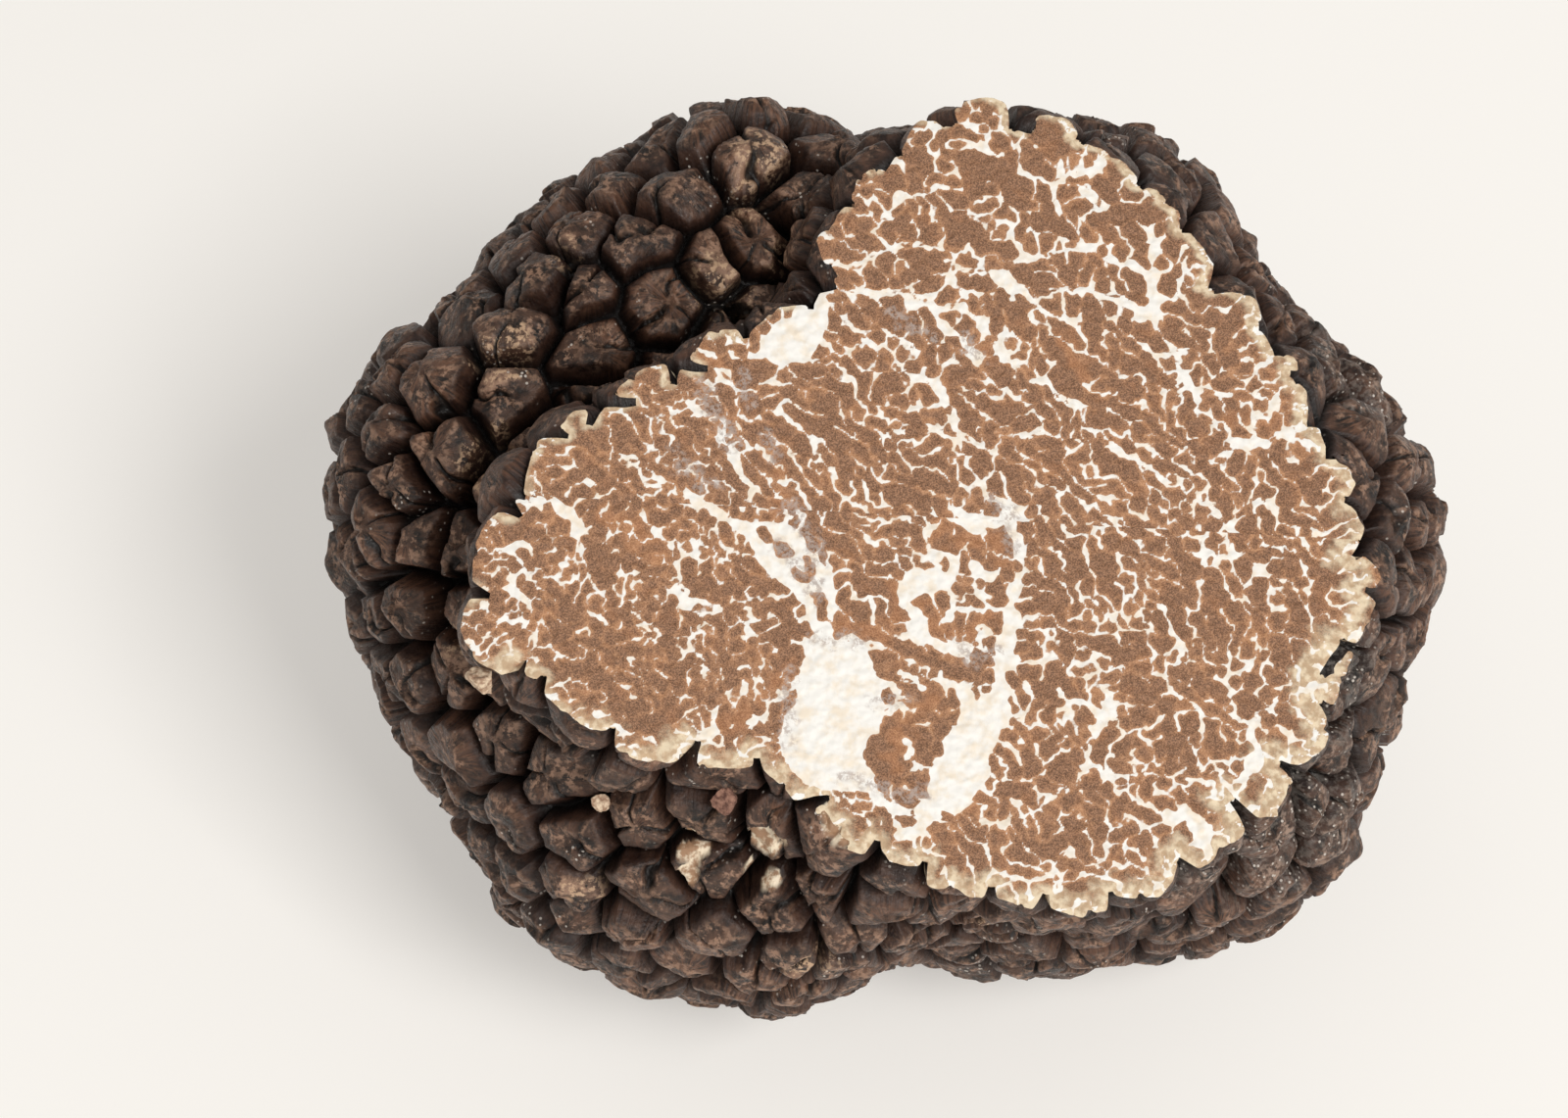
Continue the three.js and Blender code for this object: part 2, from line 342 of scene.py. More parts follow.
def least(stack, soft):
    """The least of several heights, with its edges rounded over about that much."""
    low = stack.min(1)
    return low - soft * np.log(np.exp(-(stack - low[:, None]) / soft).sum(1))


# how the grooves wander, as the size, the shift and the seeds of the lumps that bend them
GROOVE_WANDER = [(2.6, 0.30, (1, 2, 3)), (0.9, 0.10, (31, 32, 33))]
GROOVE_SOFT, LUMP_SOFT = 0.05, 0.04
NARROWEST_WART = 0.8
# the facets' level at the groove and their slope, each from this least value by up to this much more
FOOT_LEVEL, FACET_SLOPE = (0.05, 0.40), (0.18, 0.55)
CAVE_WIDTH = 0.75
# half a crack's width at the top of its wart, and how much it widens on the way down
CRACK_HALF, CRACK_FLARE = 0.06, 0.09
CRACK_BEND = 0.40
# how far the lower side of a crack takes to come back up
STEP_REACH = 0.9
STREAK_HEIGHT = 0.05
# how fast the streaks change round a wart, from its middle to its foot, and from one wart to the next
STREAKS_ROUND, STREAKS_DOWN, STREAKS_APART = 4.2, 0.55, 7.7
# height, size and seed
WRINKLES = [(0.10, 1.3, 12), (0.06, 0.55, 13), (0.03, 0.25, 14)]
CHIP_ROUGH = 0.12


def skin_relief(seat, steep):
    """Height of the skin over the smooth body, and what its finish follows, at points on that body. The
    steeper the body meets the slice, the less the warts are calmed beside it."""
    warped = seat
    for size, shift, seeds in GROOVE_WANDER:
        warped = warped + shift * np.stack([lumps(seat, size, s) for s in seeds], 1)
    home, beside, edges = nearest_warts(warped)
    off_groove = np.maximum(least(edges, GROOVE_SOFT), 0)
    widest = np.zeros(WARTS)
    np.maximum.at(widest, home, off_groove)
    widest = np.maximum(widest[home], NARROWEST_WART)
    # where the point is on its own wart
    away = warped - site[home]
    x, y = (away * site_side[home]).sum(1), (away * site_other[home]).sum(1)
    r, turn = np.hypot(x, y), np.arctan2(y, x)
    share = np.clip(r / widest, 0, 2)
    # a chunky lump: steep walls, sloping facets and a few tilted planes on top, the lowest one showing
    from_cut = np.abs((seat - CUT_CENTRE) @ CUT_NORMAL) / RIM_BAND
    calm = RIM_CALM * steep + (1 - RIM_CALM * steep) * np.minimum(from_cut, 1)
    groove = (GROOVE_DEPTH * calm * (1 + 0.4 * lumps(seat, 4, 4)))[:, None]
    own = home[:, None]
    walls = -groove + WALL_SLOPE * edges
    foot = FOOT_LEVEL[0] + FOOT_LEVEL[1] * pair_random(own, beside, 1)
    facets = foot + (FACET_SLOPE[0] + FACET_SLOPE[1] * pair_random(own, beside, 2)) * edges
    planes = wart_rise[own] * top_level[home] - top_tilt[home] * (
        x[:, None] * np.cos(top_turn[home]) + y[:, None] * np.sin(top_turn[home])
    )
    planes -= TOP_DOME * (r**2)[:, None]
    stack = np.concatenate([walls, facets, planes], 1)
    lowest = np.partition(stack, 1, axis=1)
    ridge = lowest[:, 1] - lowest[:, 0] + 0.4 * np.maximum(1 - from_cut, 0)
    h = least(stack, LUMP_SOFT)
    h -= wart_cave[home] * np.exp(-((r / CAVE_WIDTH) ** 2))
    # radial cracks split a wart into blocks, and one side of a crack can stand lower
    bend = CRACK_BEND * lumps(seat, 1.1, 6)
    crack_way, crack_on = np.empty((len(seat), CRACKS)), np.empty((len(seat), CRACKS))
    for k in range(CRACKS):
        off = turn - crack_turn[home, k] + bend
        way = r * np.sin(off)
        ahead = (np.cos(off) > 0) * ease(share, 0.05, 0.3) * (crack_deep[home, k] > 0) * calm**2
        crack_way[:, k], crack_on[:, k] = way, ahead
        cut = np.exp(-((way / (CRACK_HALF + CRACK_FLARE * share)) ** 2))
        h -= ahead * cut * crack_deep[home, k] * (0.5 + 0.5 * share)
        h -= crack_step[home, k] * ahead * (way > 0) * np.exp(-((way / STEP_REACH) ** 2))
    spokes = np.stack([np.cos(turn) * STREAKS_ROUND, np.sin(turn) * STREAKS_ROUND,
                       home * STREAKS_APART + r * STREAKS_DOWN], 1)
    streak = lumps(spokes, 1, 8) + 0.5 * lumps(spokes * 2.1, 1, 9)
    h += STREAK_HEIGHT * streak * ease(share, 0.05, 0.5)
    h += sum(height * lumps(seat, size, seed) for height, size, seed in WRINKLES)
    chip = ease(marked(seat, CHIPS, 0.3), -0.05, 0.1) * ease(h, -0.35, -0.1)
    h -= chip * (CHIP_DEPTH + CHIP_ROUGH * lumps(seat, 0.5, 21))
    return h, dict(
        part=PART_OF_WART[home],
        groove=off_groove,
        top=np.clip(off_groove / widest, 0, 1),
        ridge=ridge,
        crack_way=crack_way,
        crack_on=crack_on,
        chip=chip,
        scar=marked(seat, SCARS, 0.5),
        dust_and_sheen=marked(seat, DUST_AND_SHEEN_MARKS, 0.8),
        tone=wart_tone[home],
        spokes=spokes,
    )


# -------------------------------- the skin, finer on the camera's side
CAMERA_TILT = math.radians(55)
VIEW_BACK = np.array([0.0, -math.cos(CAMERA_TILT), math.sin(CAMERA_TILT)])
SKIN_ROUNDS = 8
# the skin is finer above this level, and it is made this far past the slice before it is cut
LOWEST_FINE = 2
ABOVE_CUT = 2.6
# only skin this close to the slice's edge, along the slice, can cross its plane, so that the slice has one
# clean edge
RIM_REACH, RIM_LEAN, RIM_GAP = 0.65, 0.25, 0.03


def fine_ball():
    """A ball of the directions from the core to the skin below the slice, finer on the camera's side."""
    bm = bmesh.new()
    bmesh.ops.create_icosphere(bm, subdivisions=SKIN_ROUNDS, radius=1.0)
    delete_points(bm, (on_body(unit(points_of(bm))) - CUT_CENTRE) @ CUT_NORMAL > ABOVE_CUT)
    way = unit(points_of(bm))
    near = (body_normal(way) @ VIEW_BACK > 0) & (on_body(way)[:, 2] > LOWEST_FINE)
    for v, seen in zip(bm.verts, near):
        v.select = bool(seen)
    edges = [e for e in bm.edges if e.verts[0].select and e.verts[1].select]
    bmesh.ops.subdivide_edges(bm, edges=edges, cuts=1, use_grid_fill=True)
    bmesh.ops.triangulate(bm, faces=[f for f in bm.faces if len(f.verts) > 3])
    return as_mesh(bm, "skin_whole")


def warted_skin():
    """The whole skin below the slice as one mesh, open at the slice."""
    mesh = fine_ball()
    way = unit(mesh_points(mesh))
    seat, out = on_body(way), body_normal(way)
    steep = np.sqrt(np.maximum(1 - (out @ CUT_NORMAL) ** 2, 0))
    h, finish = skin_relief(seat, steep)
    place = seat + out * h[:, None]
    before, after = ((q - CUT_CENTRE) @ CUT_NORMAL for q in (seat, place))
    slack = RIM_REACH * steep
    least_off = RIM_GAP + RIM_LEAN * (np.abs(before) - slack)
    short = np.maximum(least_off - np.sign(before) * after, 0) * (np.abs(before) > slack)
    place += (np.sign(before) * short)[:, None] * CUT_NORMAL
    place[:, 2] = np.maximum(place[:, 2], 0.0)
    mesh.vertices.foreach_set("co", (place * MM).astype(np.float32).ravel())
    for name, values in finish.items():
        write_attribute(mesh, name, values)
    bm = from_mesh(mesh)
    bmesh.ops.bisect_plane(
        bm,
        geom=bm.verts[:] + bm.edges[:] + bm.faces[:],
        dist=1e-7,
        plane_co=Vector(CUT_CENTRE * MM),
        plane_no=Vector(CUT_NORMAL),
        clear_outer=True,
    )
    delete_loose(bm)
    bm.to_mesh(mesh)
    bm.free()
    return mesh


def skin_parts(whole, material):
    """The skin's parts, each the faces of its own warts."""
    owner = np.empty(len(whole.vertices), np.float32)
    whole.attributes["part"].data.foreach_get("value", owner)
    bm = from_mesh(whole)
    part_of_face = [int(round(max(owner[v.index] for v in f.verts))) for f in bm.faces]
    pieces = []
    for number, name in enumerate(SKIN_PARTS):
        part = bm.copy()
        part.faces.ensure_lookup_table()
        others = [f for f, p in zip(part.faces, part_of_face) if p != number]
        bmesh.ops.delete(part, geom=others, context="FACES")
        pieces.append(finished(as_mesh(part, name), name, material))
    bm.free()
    return pieces


# -------------------------------- the flesh of the slice
# points on the slice are given in millimetres to the right of and above its centre, seen square on
FLESH_STEP = 0.1
FLESH_LOW, FLESH_HIGH = np.array([-28.0, -25.0]), np.array([28.0, 26.0])
COLUMNS, ROWS = (int(round(x)) + 1 for x in (FLESH_HIGH - FLESH_LOW) / FLESH_STEP)
FLESH_HIGH = FLESH_LOW + FLESH_STEP * np.array([COLUMNS - 1, ROWS - 1])
across, upward = np.meshgrid(
    FLESH_LOW[0] + FLESH_STEP * np.arange(COLUMNS), FLESH_LOW[1] + FLESH_STEP * np.arange(ROWS)
)

# the main veins: points along each, with half its width there
VEINS = [
    # top
    [(-5.6, 13.2, .12), (-4, 13.4, .1), (-2.4, 14, .1), (-1, 14.5, .1), (.5, 14.8, .08), (2, 14.6, .07),
     (3.4, 14.2, .08), (4.6, 13.9, .07), (6, 14.3, .1), (7, 14.6, .1), (8.5, 14.9, .12), (9.6, 14.9, .25),
     (10.8, 14.5, .3), (12.2, 14.1, .3), (13.1, 13.9, .25)],
    [(-9.6, 7.7, .3), (-8.4, 8, .6), (-7.3, 8.8, .9), (-6.5, 9.6, .95), (-5.9, 10.6, .7), (-5.6, 11.8, .35),
     (-5.5, 13.2, .25)],
    [(1.3, 13.8, .1), (3, 13.5, .25), (4.5, 13.2, .4), (5.6, 12.4, .4), (6.4, 11.6, .25), (7.3, 11.1, .1),
     (8.5, 10.9, .1), (9.2, 10.3, .12), (9.4, 9.4, .15)],
    [(-6.6, 11.3, .2), (-5, 11.5, .1), (-2.9, 11.7, .2), (-1.6, 11.5, .3), (-.5, 11.2, .35), (.5, 10.8, .45),
     (1.6, 9.7, .3), (2.5, 8.7, .2), (3.4, 7.9, .3)],
    [(1.7, 13.6, .25), (1.8, 12.6, .2), (2.2, 11.9, .1)],
    [(.5, 10.9, .3), (2, 11.4, .3), (3.2, 10.6, .3), (3.7, 9.7, .14), (4.6, 8.6, .1), (5.7, 7.7, .08),
     (7, 6.9, .08), (8.4, 6, .09), (9.5, 4.6, .1), (10.7, 3.6, .1), (12.1, 2.5, .1), (13.6, 1.9, .13),
     (14.5, 1.4, .15), (15.6, .6, .15), (16.7, 0, .15), (17.1, -.9, .1), (17.8, -1.8, .1), (18.9, -2.9, .1),
     (19.9, -3.5, .1)],
    [(-3.5, 9.2, .1), (-2.4, 8.3, .12), (-1.4, 7.2, .08), (-.5, 5.9, .08), (.2, 4.8, .08), (1.1, 3.8, .08),
     (1.9, 2.9, .1), (2.3, 1.5, .1), (3.2, .3, .1), (4, .1, .2), (5, -.4, .3), (5.6, -1.5, .5),
     (5.7, -2.9, .5), (5.6, -4.3, .45), (5.3, -5.6, .5), (5.1, -7, .6), (4.9, -8.4, .65), (4.8, -9.8, .6),
     (4.1, -11.6, .7), (3.3, -12.9, .8), (3, -14.4, .8), (2.6, -15.5, .9)],
    [(-1.4, 7.6, .1), (-.3, 6.9, .15), (.5, 6, .25), (1.4, 4.8, .25), (2.6, 3.5, .2), (3.5, 2.8, .25)],
    [(-6.1, 10.2, .15), (-4.8, 10.3, .1), (-3.7, 9.7, .25), (-2.4, 9.5, .1), (-1.3, 9, .1),
     (-.5, 8.5, .08)],
    [(2.2, 8, .15), (1.5, 8, .22), (.9, 7.4, .1), (.9, 6.5, .06)],
    [(13.4, 16.4, .15), (13.3, 14.8, .35), (13.2, 12.9, .35), (13.3, 11.8, .4), (12.6, 11.5, .4),
     (11.6, 11.9, .3), (10.7, 12.1, .25), (9.2, 12.5, .2), (7.5, 12.6, .15)],
    [(13.4, 12, .3), (14.6, 12.8, .2), (15, 13.8, .12), (15.4, 14.8, .1)],
    [(13.4, 11.5, .2), (13.6, 10.8, .1), (14, 9.9, .08), (14.7, 8.4, .25), (15.4, 6.9, .12), (16, 6, .12),
     (16.9, 5.1, .15)],
    [(16, 3.1, .1), (17, 3.9, .3), (18.5, 4.2, .35), (20, 4.5, .3), (21.4, 5.2, .35), (22.3, 5.9, .55),
     (23.1, 6.6, .55)],
    [(18.9, 5.4, .08), (19.6, 6.2, .1), (20.2, 6.8, .15), (21, 6.3, .1), (22.3, 6.2, .1)],
    [(16.9, 8, .08), (18.4, 8.3, .1), (19.5, 8.8, .1), (20.1, 9.3, .1)],
    [(16, 8.6, .1), (16.2, 7.3, .12), (17.3, 6.9, .2), (18.5, 7.4, .15)],
    [(17.1, -.9, .12), (17.4, -1.8, .08), (18.2, -2.5, .08)],
    [(-1.2, 17.9, .1), (-1.6, 17.2, .35), (-2.4, 15.6, .1), (-2.8, 14.5, .08)],
    [(-1.6, 17.2, .3), (-.6, 17.5, .1), (.3, 17.9, .3), (1.3, 18.2, .1)],
    [(8.1, 20.4, .1), (8, 19.6, .35), (7.7, 18.4, .1), (8, 17, .08)],
    [(8, 19.6, .3), (9.2, 19.5, .12), (10.2, 19.7, .1)],
    [(2.6, 22.6, .15), (3.2, 21.6, .3), (3.6, 20.9, .1)],
    [(4.9, 22.8, .3), (5.4, 22.2, .35), (5.7, 21.4, .1)],
    [(9, 18.6, .2), (9.8, 18, .35), (10.4, 17.4, .1)],
    # middle
    [(1, .1, .15), (1.5, -.7, .4), (2.2, -1, .6), (3.1, -1.2, .62), (3.9, -1.2, .45), (4.1, -.8, .15)],
    [(.6, -1.4, .2), (.6, -2.4, .15), (.8, -3.2, .35)],
    [(-.1, -4.7, .7), (-.6, -5.6, .6), (-.5, -6.6, .5), (.1, -7.6, .5), (1.2, -8.3, .55), (2.1, -8.7, .5),
     (2.9, -8.3, .4), (3.8, -7.5, .35)],
    [(-.3, -4.8, .4), (.6, -4.8, .68), (1.5, -4.5, .55), (1.8, -3.8, .4), (1.4, -3.2, .4), (.8, -3.3, .3)],
    [(2.8, -3.6, .3), (3.5, -3.9, .55), (4.2, -4.4, .3)],
    [(3, -5, .25), (3.5, -5.3, .35), (4.1, -5.5, .2)],
    [(1.1, -6.9, .3), (2.3, -6.3, .3), (3.3, -6.3, .25)],
    [(-6.2, -8.9, .5), (-5.6, -9.9, 1.1), (-5.2, -11.3, 1.7), (-5.1, -12.9, 1.9), (-5, -14.6, 1.6),
     (-4.3, -15.9, .8)],
    [(-4.4, -9.2, .7), (-3.6, -10.4, 1.1), (-3.4, -12, .9), (-3.9, -13.5, .9)],
    [(-4, -16.2, .35), (-2.8, -17, .3), (-1.5, -17.7, .3), (-.4, -18, .5), (.5, -17.2, .8),
     (1.6, -16, 1), (2.4, -14.5, .9), (2.7, -12.8, .85), (2.6, -11.2, .8), (1.6, -10.3, .4),
     (.2, -9.5, .25), (-1.4, -8.9, .22), (-3.2, -8.5, .25), (-4.9, -8.4, .35)],
    [(.3, -17.4, .6), (-.7, -18.6, .6), (-1.6, -19.4, .4)],
    [(-2.2, -14, .14), (-1.6, -13.8, .2), (-1.1, -14.1, .1)],
    [(-2, -15.2, .06), (-1.2, -15, .1), (-.6, -15.1, .06)],
    [(-15.5, .2, .1), (-14.6, -.4, .2), (-13.5, -.9, .3), (-12.4, -1, .2), (-11.2, -1.6, .3),
     (-9.6, -2.2, .5), (-8.4, -2.8, .75), (-7.3, -3.9, 1), (-6.3, -5.1, .9), (-5.7, -6.4, .75),
     (-5.5, -7.5, .7), (-5.2, -8.4, .5)],
    [(-13.4, 4.9, .35), (-12.6, 4, .2), (-11.8, 2.8, .12), (-11, 1.6, .15), (-10.4, .4, .2),
     (-9.9, -.9, .3)],
    # left lobe
    [(-23.7, -1.6, .25), (-22.5, -1.1, .12), (-21.4, -1.4, .25), (-20.4, -1.5, .25), (-19.5, -2, .25),
     (-19, -2.8, .4), (-18.9, -4, .1), (-19.6, -4.6, .08)],
    [(-23.7, -4.1, .12), (-22.4, -4, .12), (-21.3, -3.7, .1), (-20.5, -3.8, .1)],
    [(-23.4, -5.2, .1), (-21.8, -5.3, .1), (-20.2, -5.5, .08)],
    [(-25, -6.4, .12), (-23.7, -6.4, .12), (-22.6, -6.5, .2), (-21.8, -7, .3), (-21.4, -7.8, .1)],
    [(-22.4, -7.6, .1), (-21.8, -8.2, .1)],
    [(-24.4, -7.4, .12), (-23.6, -8, .12), (-23, -7.9, .1)],
    [(-15.2, -2.5, .1), (-14.4, -3, .25), (-13.4, -3.9, .1), (-13.4, -5, .08), (-13.8, -5.9, .15),
     (-13.2, -6.6, .3), (-12.1, -6.5, .2), (-11.4, -7.2, .08)],
    [(-10.2, -7.6, .1), (-9.7, -7.8, .25), (-9.2, -8.1, .1)],
    [(-11.9, -13.9, .3), (-11.5, -13.1, .15), (-11, -12, .1)],
    [(-9.6, -13.3, .2), (-8.8, -12.6, .08), (-7.6, -11.5, .08), (-6.9, -10.5, .1)],
    # lower right
    [(10.6, -10.6, .2), (10.3, -11.6, .35), (9.7, -12.8, .15), (9.1, -14.2, .12), (8.5, -15.7, .1),
     (7.6, -16.3, .15), (6.5, -17.1, .2), (5, -17.8, .25), (3.9, -18.2, .3)],
    [(10.3, -11.6, .3), (9.2, -11.2, .1), (8, -11.3, .08)],
    [(10.3, -11.6, .3), (11.2, -11.2, .1), (12.3, -10.8, .08)],
    [(14, -17.2, .3), (14.9, -17.8, .65), (15.6, -18.5, .6), (15.8, -19.4, .3)],
    [(12, -18.2, .08), (13.2, -17.8, .12), (14.3, -17.5, .2)],
    [(18.9, -11.5, .1), (18.8, -12.8, .35), (18.9, -14, .5), (18.2, -15, .2)],
    [(4.5, -8.6, .3), (5.6, -8.9, .12), (6.9, -9, .1), (8.2, -8.9, .08)],
    [(4.4, -11.2, .3), (5.2, -11.9, .15), (6.5, -12.4, .12), (8, -12.5, .1)],
]

# brown lobes that lie in the white, painted over it
LOBES = [
    [(-2.4, -9.6, .3), (-1.2, -9.8, .4), (0, -10.3, .45), (.7, -11.1, .4), (.3, -12, .4), (-.5, -12.8, .55),
     (-1.3, -13.6, .8), (-1.8, -14.6, .95), (-1.9, -15.5, .7)],
    [(1.4, -11.8, .12), (1.2, -12.7, .42), (.9, -13.7, .36), (.5, -14.6, .1)],
    [(-5.3, -7.2, .1), (-3.6, -7.6, .25), (-2.1, -8, .3), (-.6, -8.6, .35), (.9, -9.2, .4),
     (2.2, -9.9, .45), (3, -9.6, .35), (3.3, -9, .15)],
    [(-7.9, -3.2, .3), (-7.4, -3.7, .42)],
    [(-6.9, -4.5, .25), (-6.5, -5, .4)],
    [(-8.8, -2.4, .2), (-8.6, -2.8, .25)],
    [(-6.6, -3.6, .2), (-6.2, -4.2, .35), (-5.9, -4.7, .2)],
    [(-5.9, -5.9, .2), (-5.6, -6.5, .35), (-5.5, -7, .2)],
]
# white left inside those lobes
HOLES = [
    [(-1.2, -13.8, .1), (-.6, -14.3, .16), (-.2, -15.2, .1)],
    [(-.9, -10.1, .06), (-.2, -10.4, .16), (.2, -10.9, .12)],
    [(-3, -12.4, .12), (-1.9, -12.2, .1), (-.9, -11.9, .08)],
    [(-2.5, -10.2, .2), (-1.7, -10.7, .22), (-1.1, -11.2, .1)],
]
# grey, half clear threads, and warm orange tissue
THREADS = [
    [(3.4, .3, .15), (4.4, -.4, .28), (5, -1.3, .28), (5.3, -2.6, .15)],
    [(-12.7, 5.5, .5), (-11.6, 3.8, .45), (-11.3, 2.4, .3)],
    [(-10.3, 6.7, .25), (-10.1, 4.9, .3)],
    [(-9.4, 3.2, .3), (-8.7, 1.6, .3)],
    [(-8.3, -.6, .2), (-6.8, -1.4, .35), (-6.1, -2.4, .4), (-5.7, -3.5, .3)],
    [(-8.2, -3, .2), (-7.2, -3.8, .4), (-6.4, -4.8, .4), (-5.7, -6.2, .3)],
    [(-14.5, 1.8, .3), (-13.2, .6, .35), (-12.2, 0, .3)],
    [(-4.6, -15.9, .2), (-2.9, -16.4, .4), (-1.1, -16.9, .45), (.3, -16.3, .2)],
    [(-6.1, -8.2, .3), (-4.7, -8.3, .3), (-3.5, -8.4, .2)],
    [(1.9, -8.4, .2), (3.2, -8.9, .3), (4.6, -8.2, .25)],
    [(-2.8, -11.7, .2), (-1.6, -11.5, .25), (-.6, -11.3, .1)],
    [(-7.4, -10.2, .15), (-7.5, -12.4, .2), (-7.2, -14.6, .2)],
    [(2.2, 9.7, .2), (3.4, 8.6, .15)],
    [(-1.8, 10.6, .25), (-.6, 10, .25), (.6, 9.2, .15)],
]
WARM = [
    [(.8, -16.9, .3), (1.8, -17.4, .45), (2.7, -16.9, .4), (3.3, -16, .2)],
    [(-8.9, 2, .35), (-8.4, .3, .4), (-7.9, -1.4, .35)],
    [(-5, -7.4, .2), (-3.4, -7.6, .35), (-1.9, -8.1, .3)],
    [(-1.1, -5, .35), (-1.4, -6.4, .4), (-1.9, -7.6, .3)],
    [(-.1, -6.2, .6), (.8, -7.4, .6), (2.4, -7.7, .5), (3.9, -6.6, .3)],
    [(1.2, -1.6, .5), (2.4, -2.2, .5), (4.3, -2.2, .5), (4.6, -3.6, .3)],
    [(-1.5, -15.2, .6), (-1, -12.9, .5), (.4, -11.2, .3)],
    [(3.4, 9.1, .5), (3.9, 8.6, .4)],
    [(7.9, 9.7, .4), (8.8, 8.6, .5), (9.2, 7.5, .3)],
    [(-12.6, 7.6, .4), (-11.6, 7, .3)],
    [(17, 5.4, .3), (19.5, 5.7, .35), (21.6, 6.7, .3)],
    [(-17.6, -1.9, .4), (-15.9, -2.6, .5), (-14.6, -3.9, .4)],
    [(-11.6, -13.4, .5), (-9.4, -12.2, .5), (-7.4, -10.4, .4)],
]


def cloud(size, seed):
    """Even random clouds of about that size over the slice."""
    k = np.hypot(np.fft.rfftfreq(COLUMNS, FLESH_STEP), np.fft.fftfreq(ROWS, FLESH_STEP)[:, None])
    noise = np.random.default_rng(seed).normal(size=across.shape)
    shaped = np.fft.rfft2(noise) * np.exp(-2 * (k * size) ** 2) * (1 - np.exp(-4 * (k * size) ** 2))
    field = np.fft.irfft2(shaped, s=across.shape)
    return field / field.std()


def grid_place(x, y):
    j = np.clip(((y - FLESH_LOW[1]) / FLESH_STEP).astype(int), 0, ROWS - 1)
    return j, np.clip(((x - FLESH_LOW[0]) / FLESH_STEP).astype(int), 0, COLUMNS - 1)


def around(x, y, r):
    """The part of the grid within r of a point."""
    i = int((x - r - FLESH_LOW[0]) / FLESH_STEP), int((x + r - FLESH_LOW[0]) / FLESH_STEP) + 2
    j = int((y - r - FLESH_LOW[1]) / FLESH_STEP), int((y + r - FLESH_LOW[1]) / FLESH_STEP) + 2
    return slice(max(j[0], 0), max(j[1], 0)), slice(max(i[0], 0), max(i[1], 0))


STROKE_STEP = 0.05
# how far from its edge a stroke is felt, how far it wanders, and how much it swells
STROKE_LIMIT, STROKE_WANDER, STROKE_SWELL = 1.6, 0.13, 0.3
# a half width under the first of these is drawn as the second and this share of it
FINE_STROKE, FINE_LEAST, FINE_SHARE = 0.7, 0.08, 0.58


def along(points):
    """A smooth line through points, as close points."""
    p = np.array(points, float)
    p = np.vstack([2 * p[0] - p[1], p, 2 * p[-1] - p[-2]])
    out = []
    for a, b, c, d in zip(p[:-3], p[1:-2], p[2:-1], p[3:]):
        count = max(2, int(np.hypot(*(c - b)[:2]) / STROKE_STEP))
        out.append(between(a, b, c, d, np.arange(count)[:, None] / count))
    return np.vstack([*out, p[-2:-1]])


def drawn(strokes):
    """How far inside any of these strokes each point is, in millimetres, negative outside."""
    field = np.full(across.shape, -STROKE_LIMIT)
    shift_x, shift_y, swell = STROKE_WANDER * cloud(0.9, 31), STROKE_WANDER * cloud(0.9, 32), cloud(0.7, 35)
    for stroke in strokes:
        x, y, half = along(stroke).T
        place = grid_place(x, y)
        half = np.where(half < FINE_STROKE, FINE_LEAST + FINE_SHARE * half, half)
        half = half * np.clip(1 + STROKE_SWELL * swell[place], 0.5, 1.8)
        for mid_x, mid_y, w in zip(x + shift_x[place], y + shift_y[place], half):
            near = around(mid_x, mid_y, STROKE_LIMIT + max(w, 0.05))
            np.maximum(field[near], w - np.hypot(across[near] - mid_x, upward[near] - mid_y), out=field[near])
    return field


def past(*steps):
    """1 where each of these lengths is well above 0, 0 where one is well below it, each over its width."""
    share = 1
    for length, width in steps:
        share = share / (1 + np.exp(-length / width))
    return share


def near_rim(inward, width):
    return np.exp(-np.maximum(inward, 0) / width)


def slice_regions():
    """How far inside the rim each point is, where the left lobe is, which way the folds run, and how much."""
    turn = np.arctan2(upward, across)
    inward = round_the_turn(CUT_REACH, turn) - np.hypot(across, upward)
    left = past((-(across + 9.5 + 0.35 * (upward + 3)), 1.2), (6 - upward, 1.5))
    top = past((upward - 13.5, 1.2))
    low_right = past((across - 5, 1.5), (-(upward + 6), 1.5))
    # down to the right in the middle, out towards the rim at the right, and level at the left rim
    run = -0.75 - 0.25 * past((across - 10, 3)) + 0.45 * cloud(4, 11)
    run = np.where(near_rim(inward, 2.2) * past((across - 8, 2)) > 0.4, turn, run)
    left_rim = near_rim(inward, 2.5) * past((-(across + 16), 1.5))
    run = np.where(left_rim > 0.3, 0, run)
    strong = 0.62 * (1 - left) * (1 - top) * (1 - low_right) + 0.12 + 0.3 * left_rim
    return inward, left, run, np.clip(strong, 0, 1)


LOBE_GAP, LEFT_LOBE_GAP = 0.74, 0.58
LOBE_STRETCH = 1.45
LOBE_TRIES = 90000
TOP_LOBES_LARGER = 0.22
# how far a lobe can reach, in its own gaps, and the side of the boxes that its neighbours are looked up in
LOBE_REACH, BOX = 2.6, 1.4
# a border shorter than this is always open, and one that a main vein fills beyond this share stays shut
SHORT_BORDER, FILLED = 0.2, 0.3
# borders opened beyond the need, as a share, and how much sooner the left lobe's are
OPEN_EXTRA, LEFT_SOONER = 0.12, 0.25
# how much sooner a border across the run of the folds is opened, and a long one
RUN_SOONER, LONG_SOONER = 1.3, 0.25
# half widths in millimetres, and how much they vary
VEIN_HALF, VEIN_SPREAD, OPEN_HALF = 0.05, 0.35, -0.14
CORNER_ROUND = 0.06
# how much wider a vein grows where lobes leave a corner between them
CORNER_SWELL, CORNER_FROM = 0.62, 0.80
LEFT_THINNER = 0.022
MAIN_SWELL = 0.4


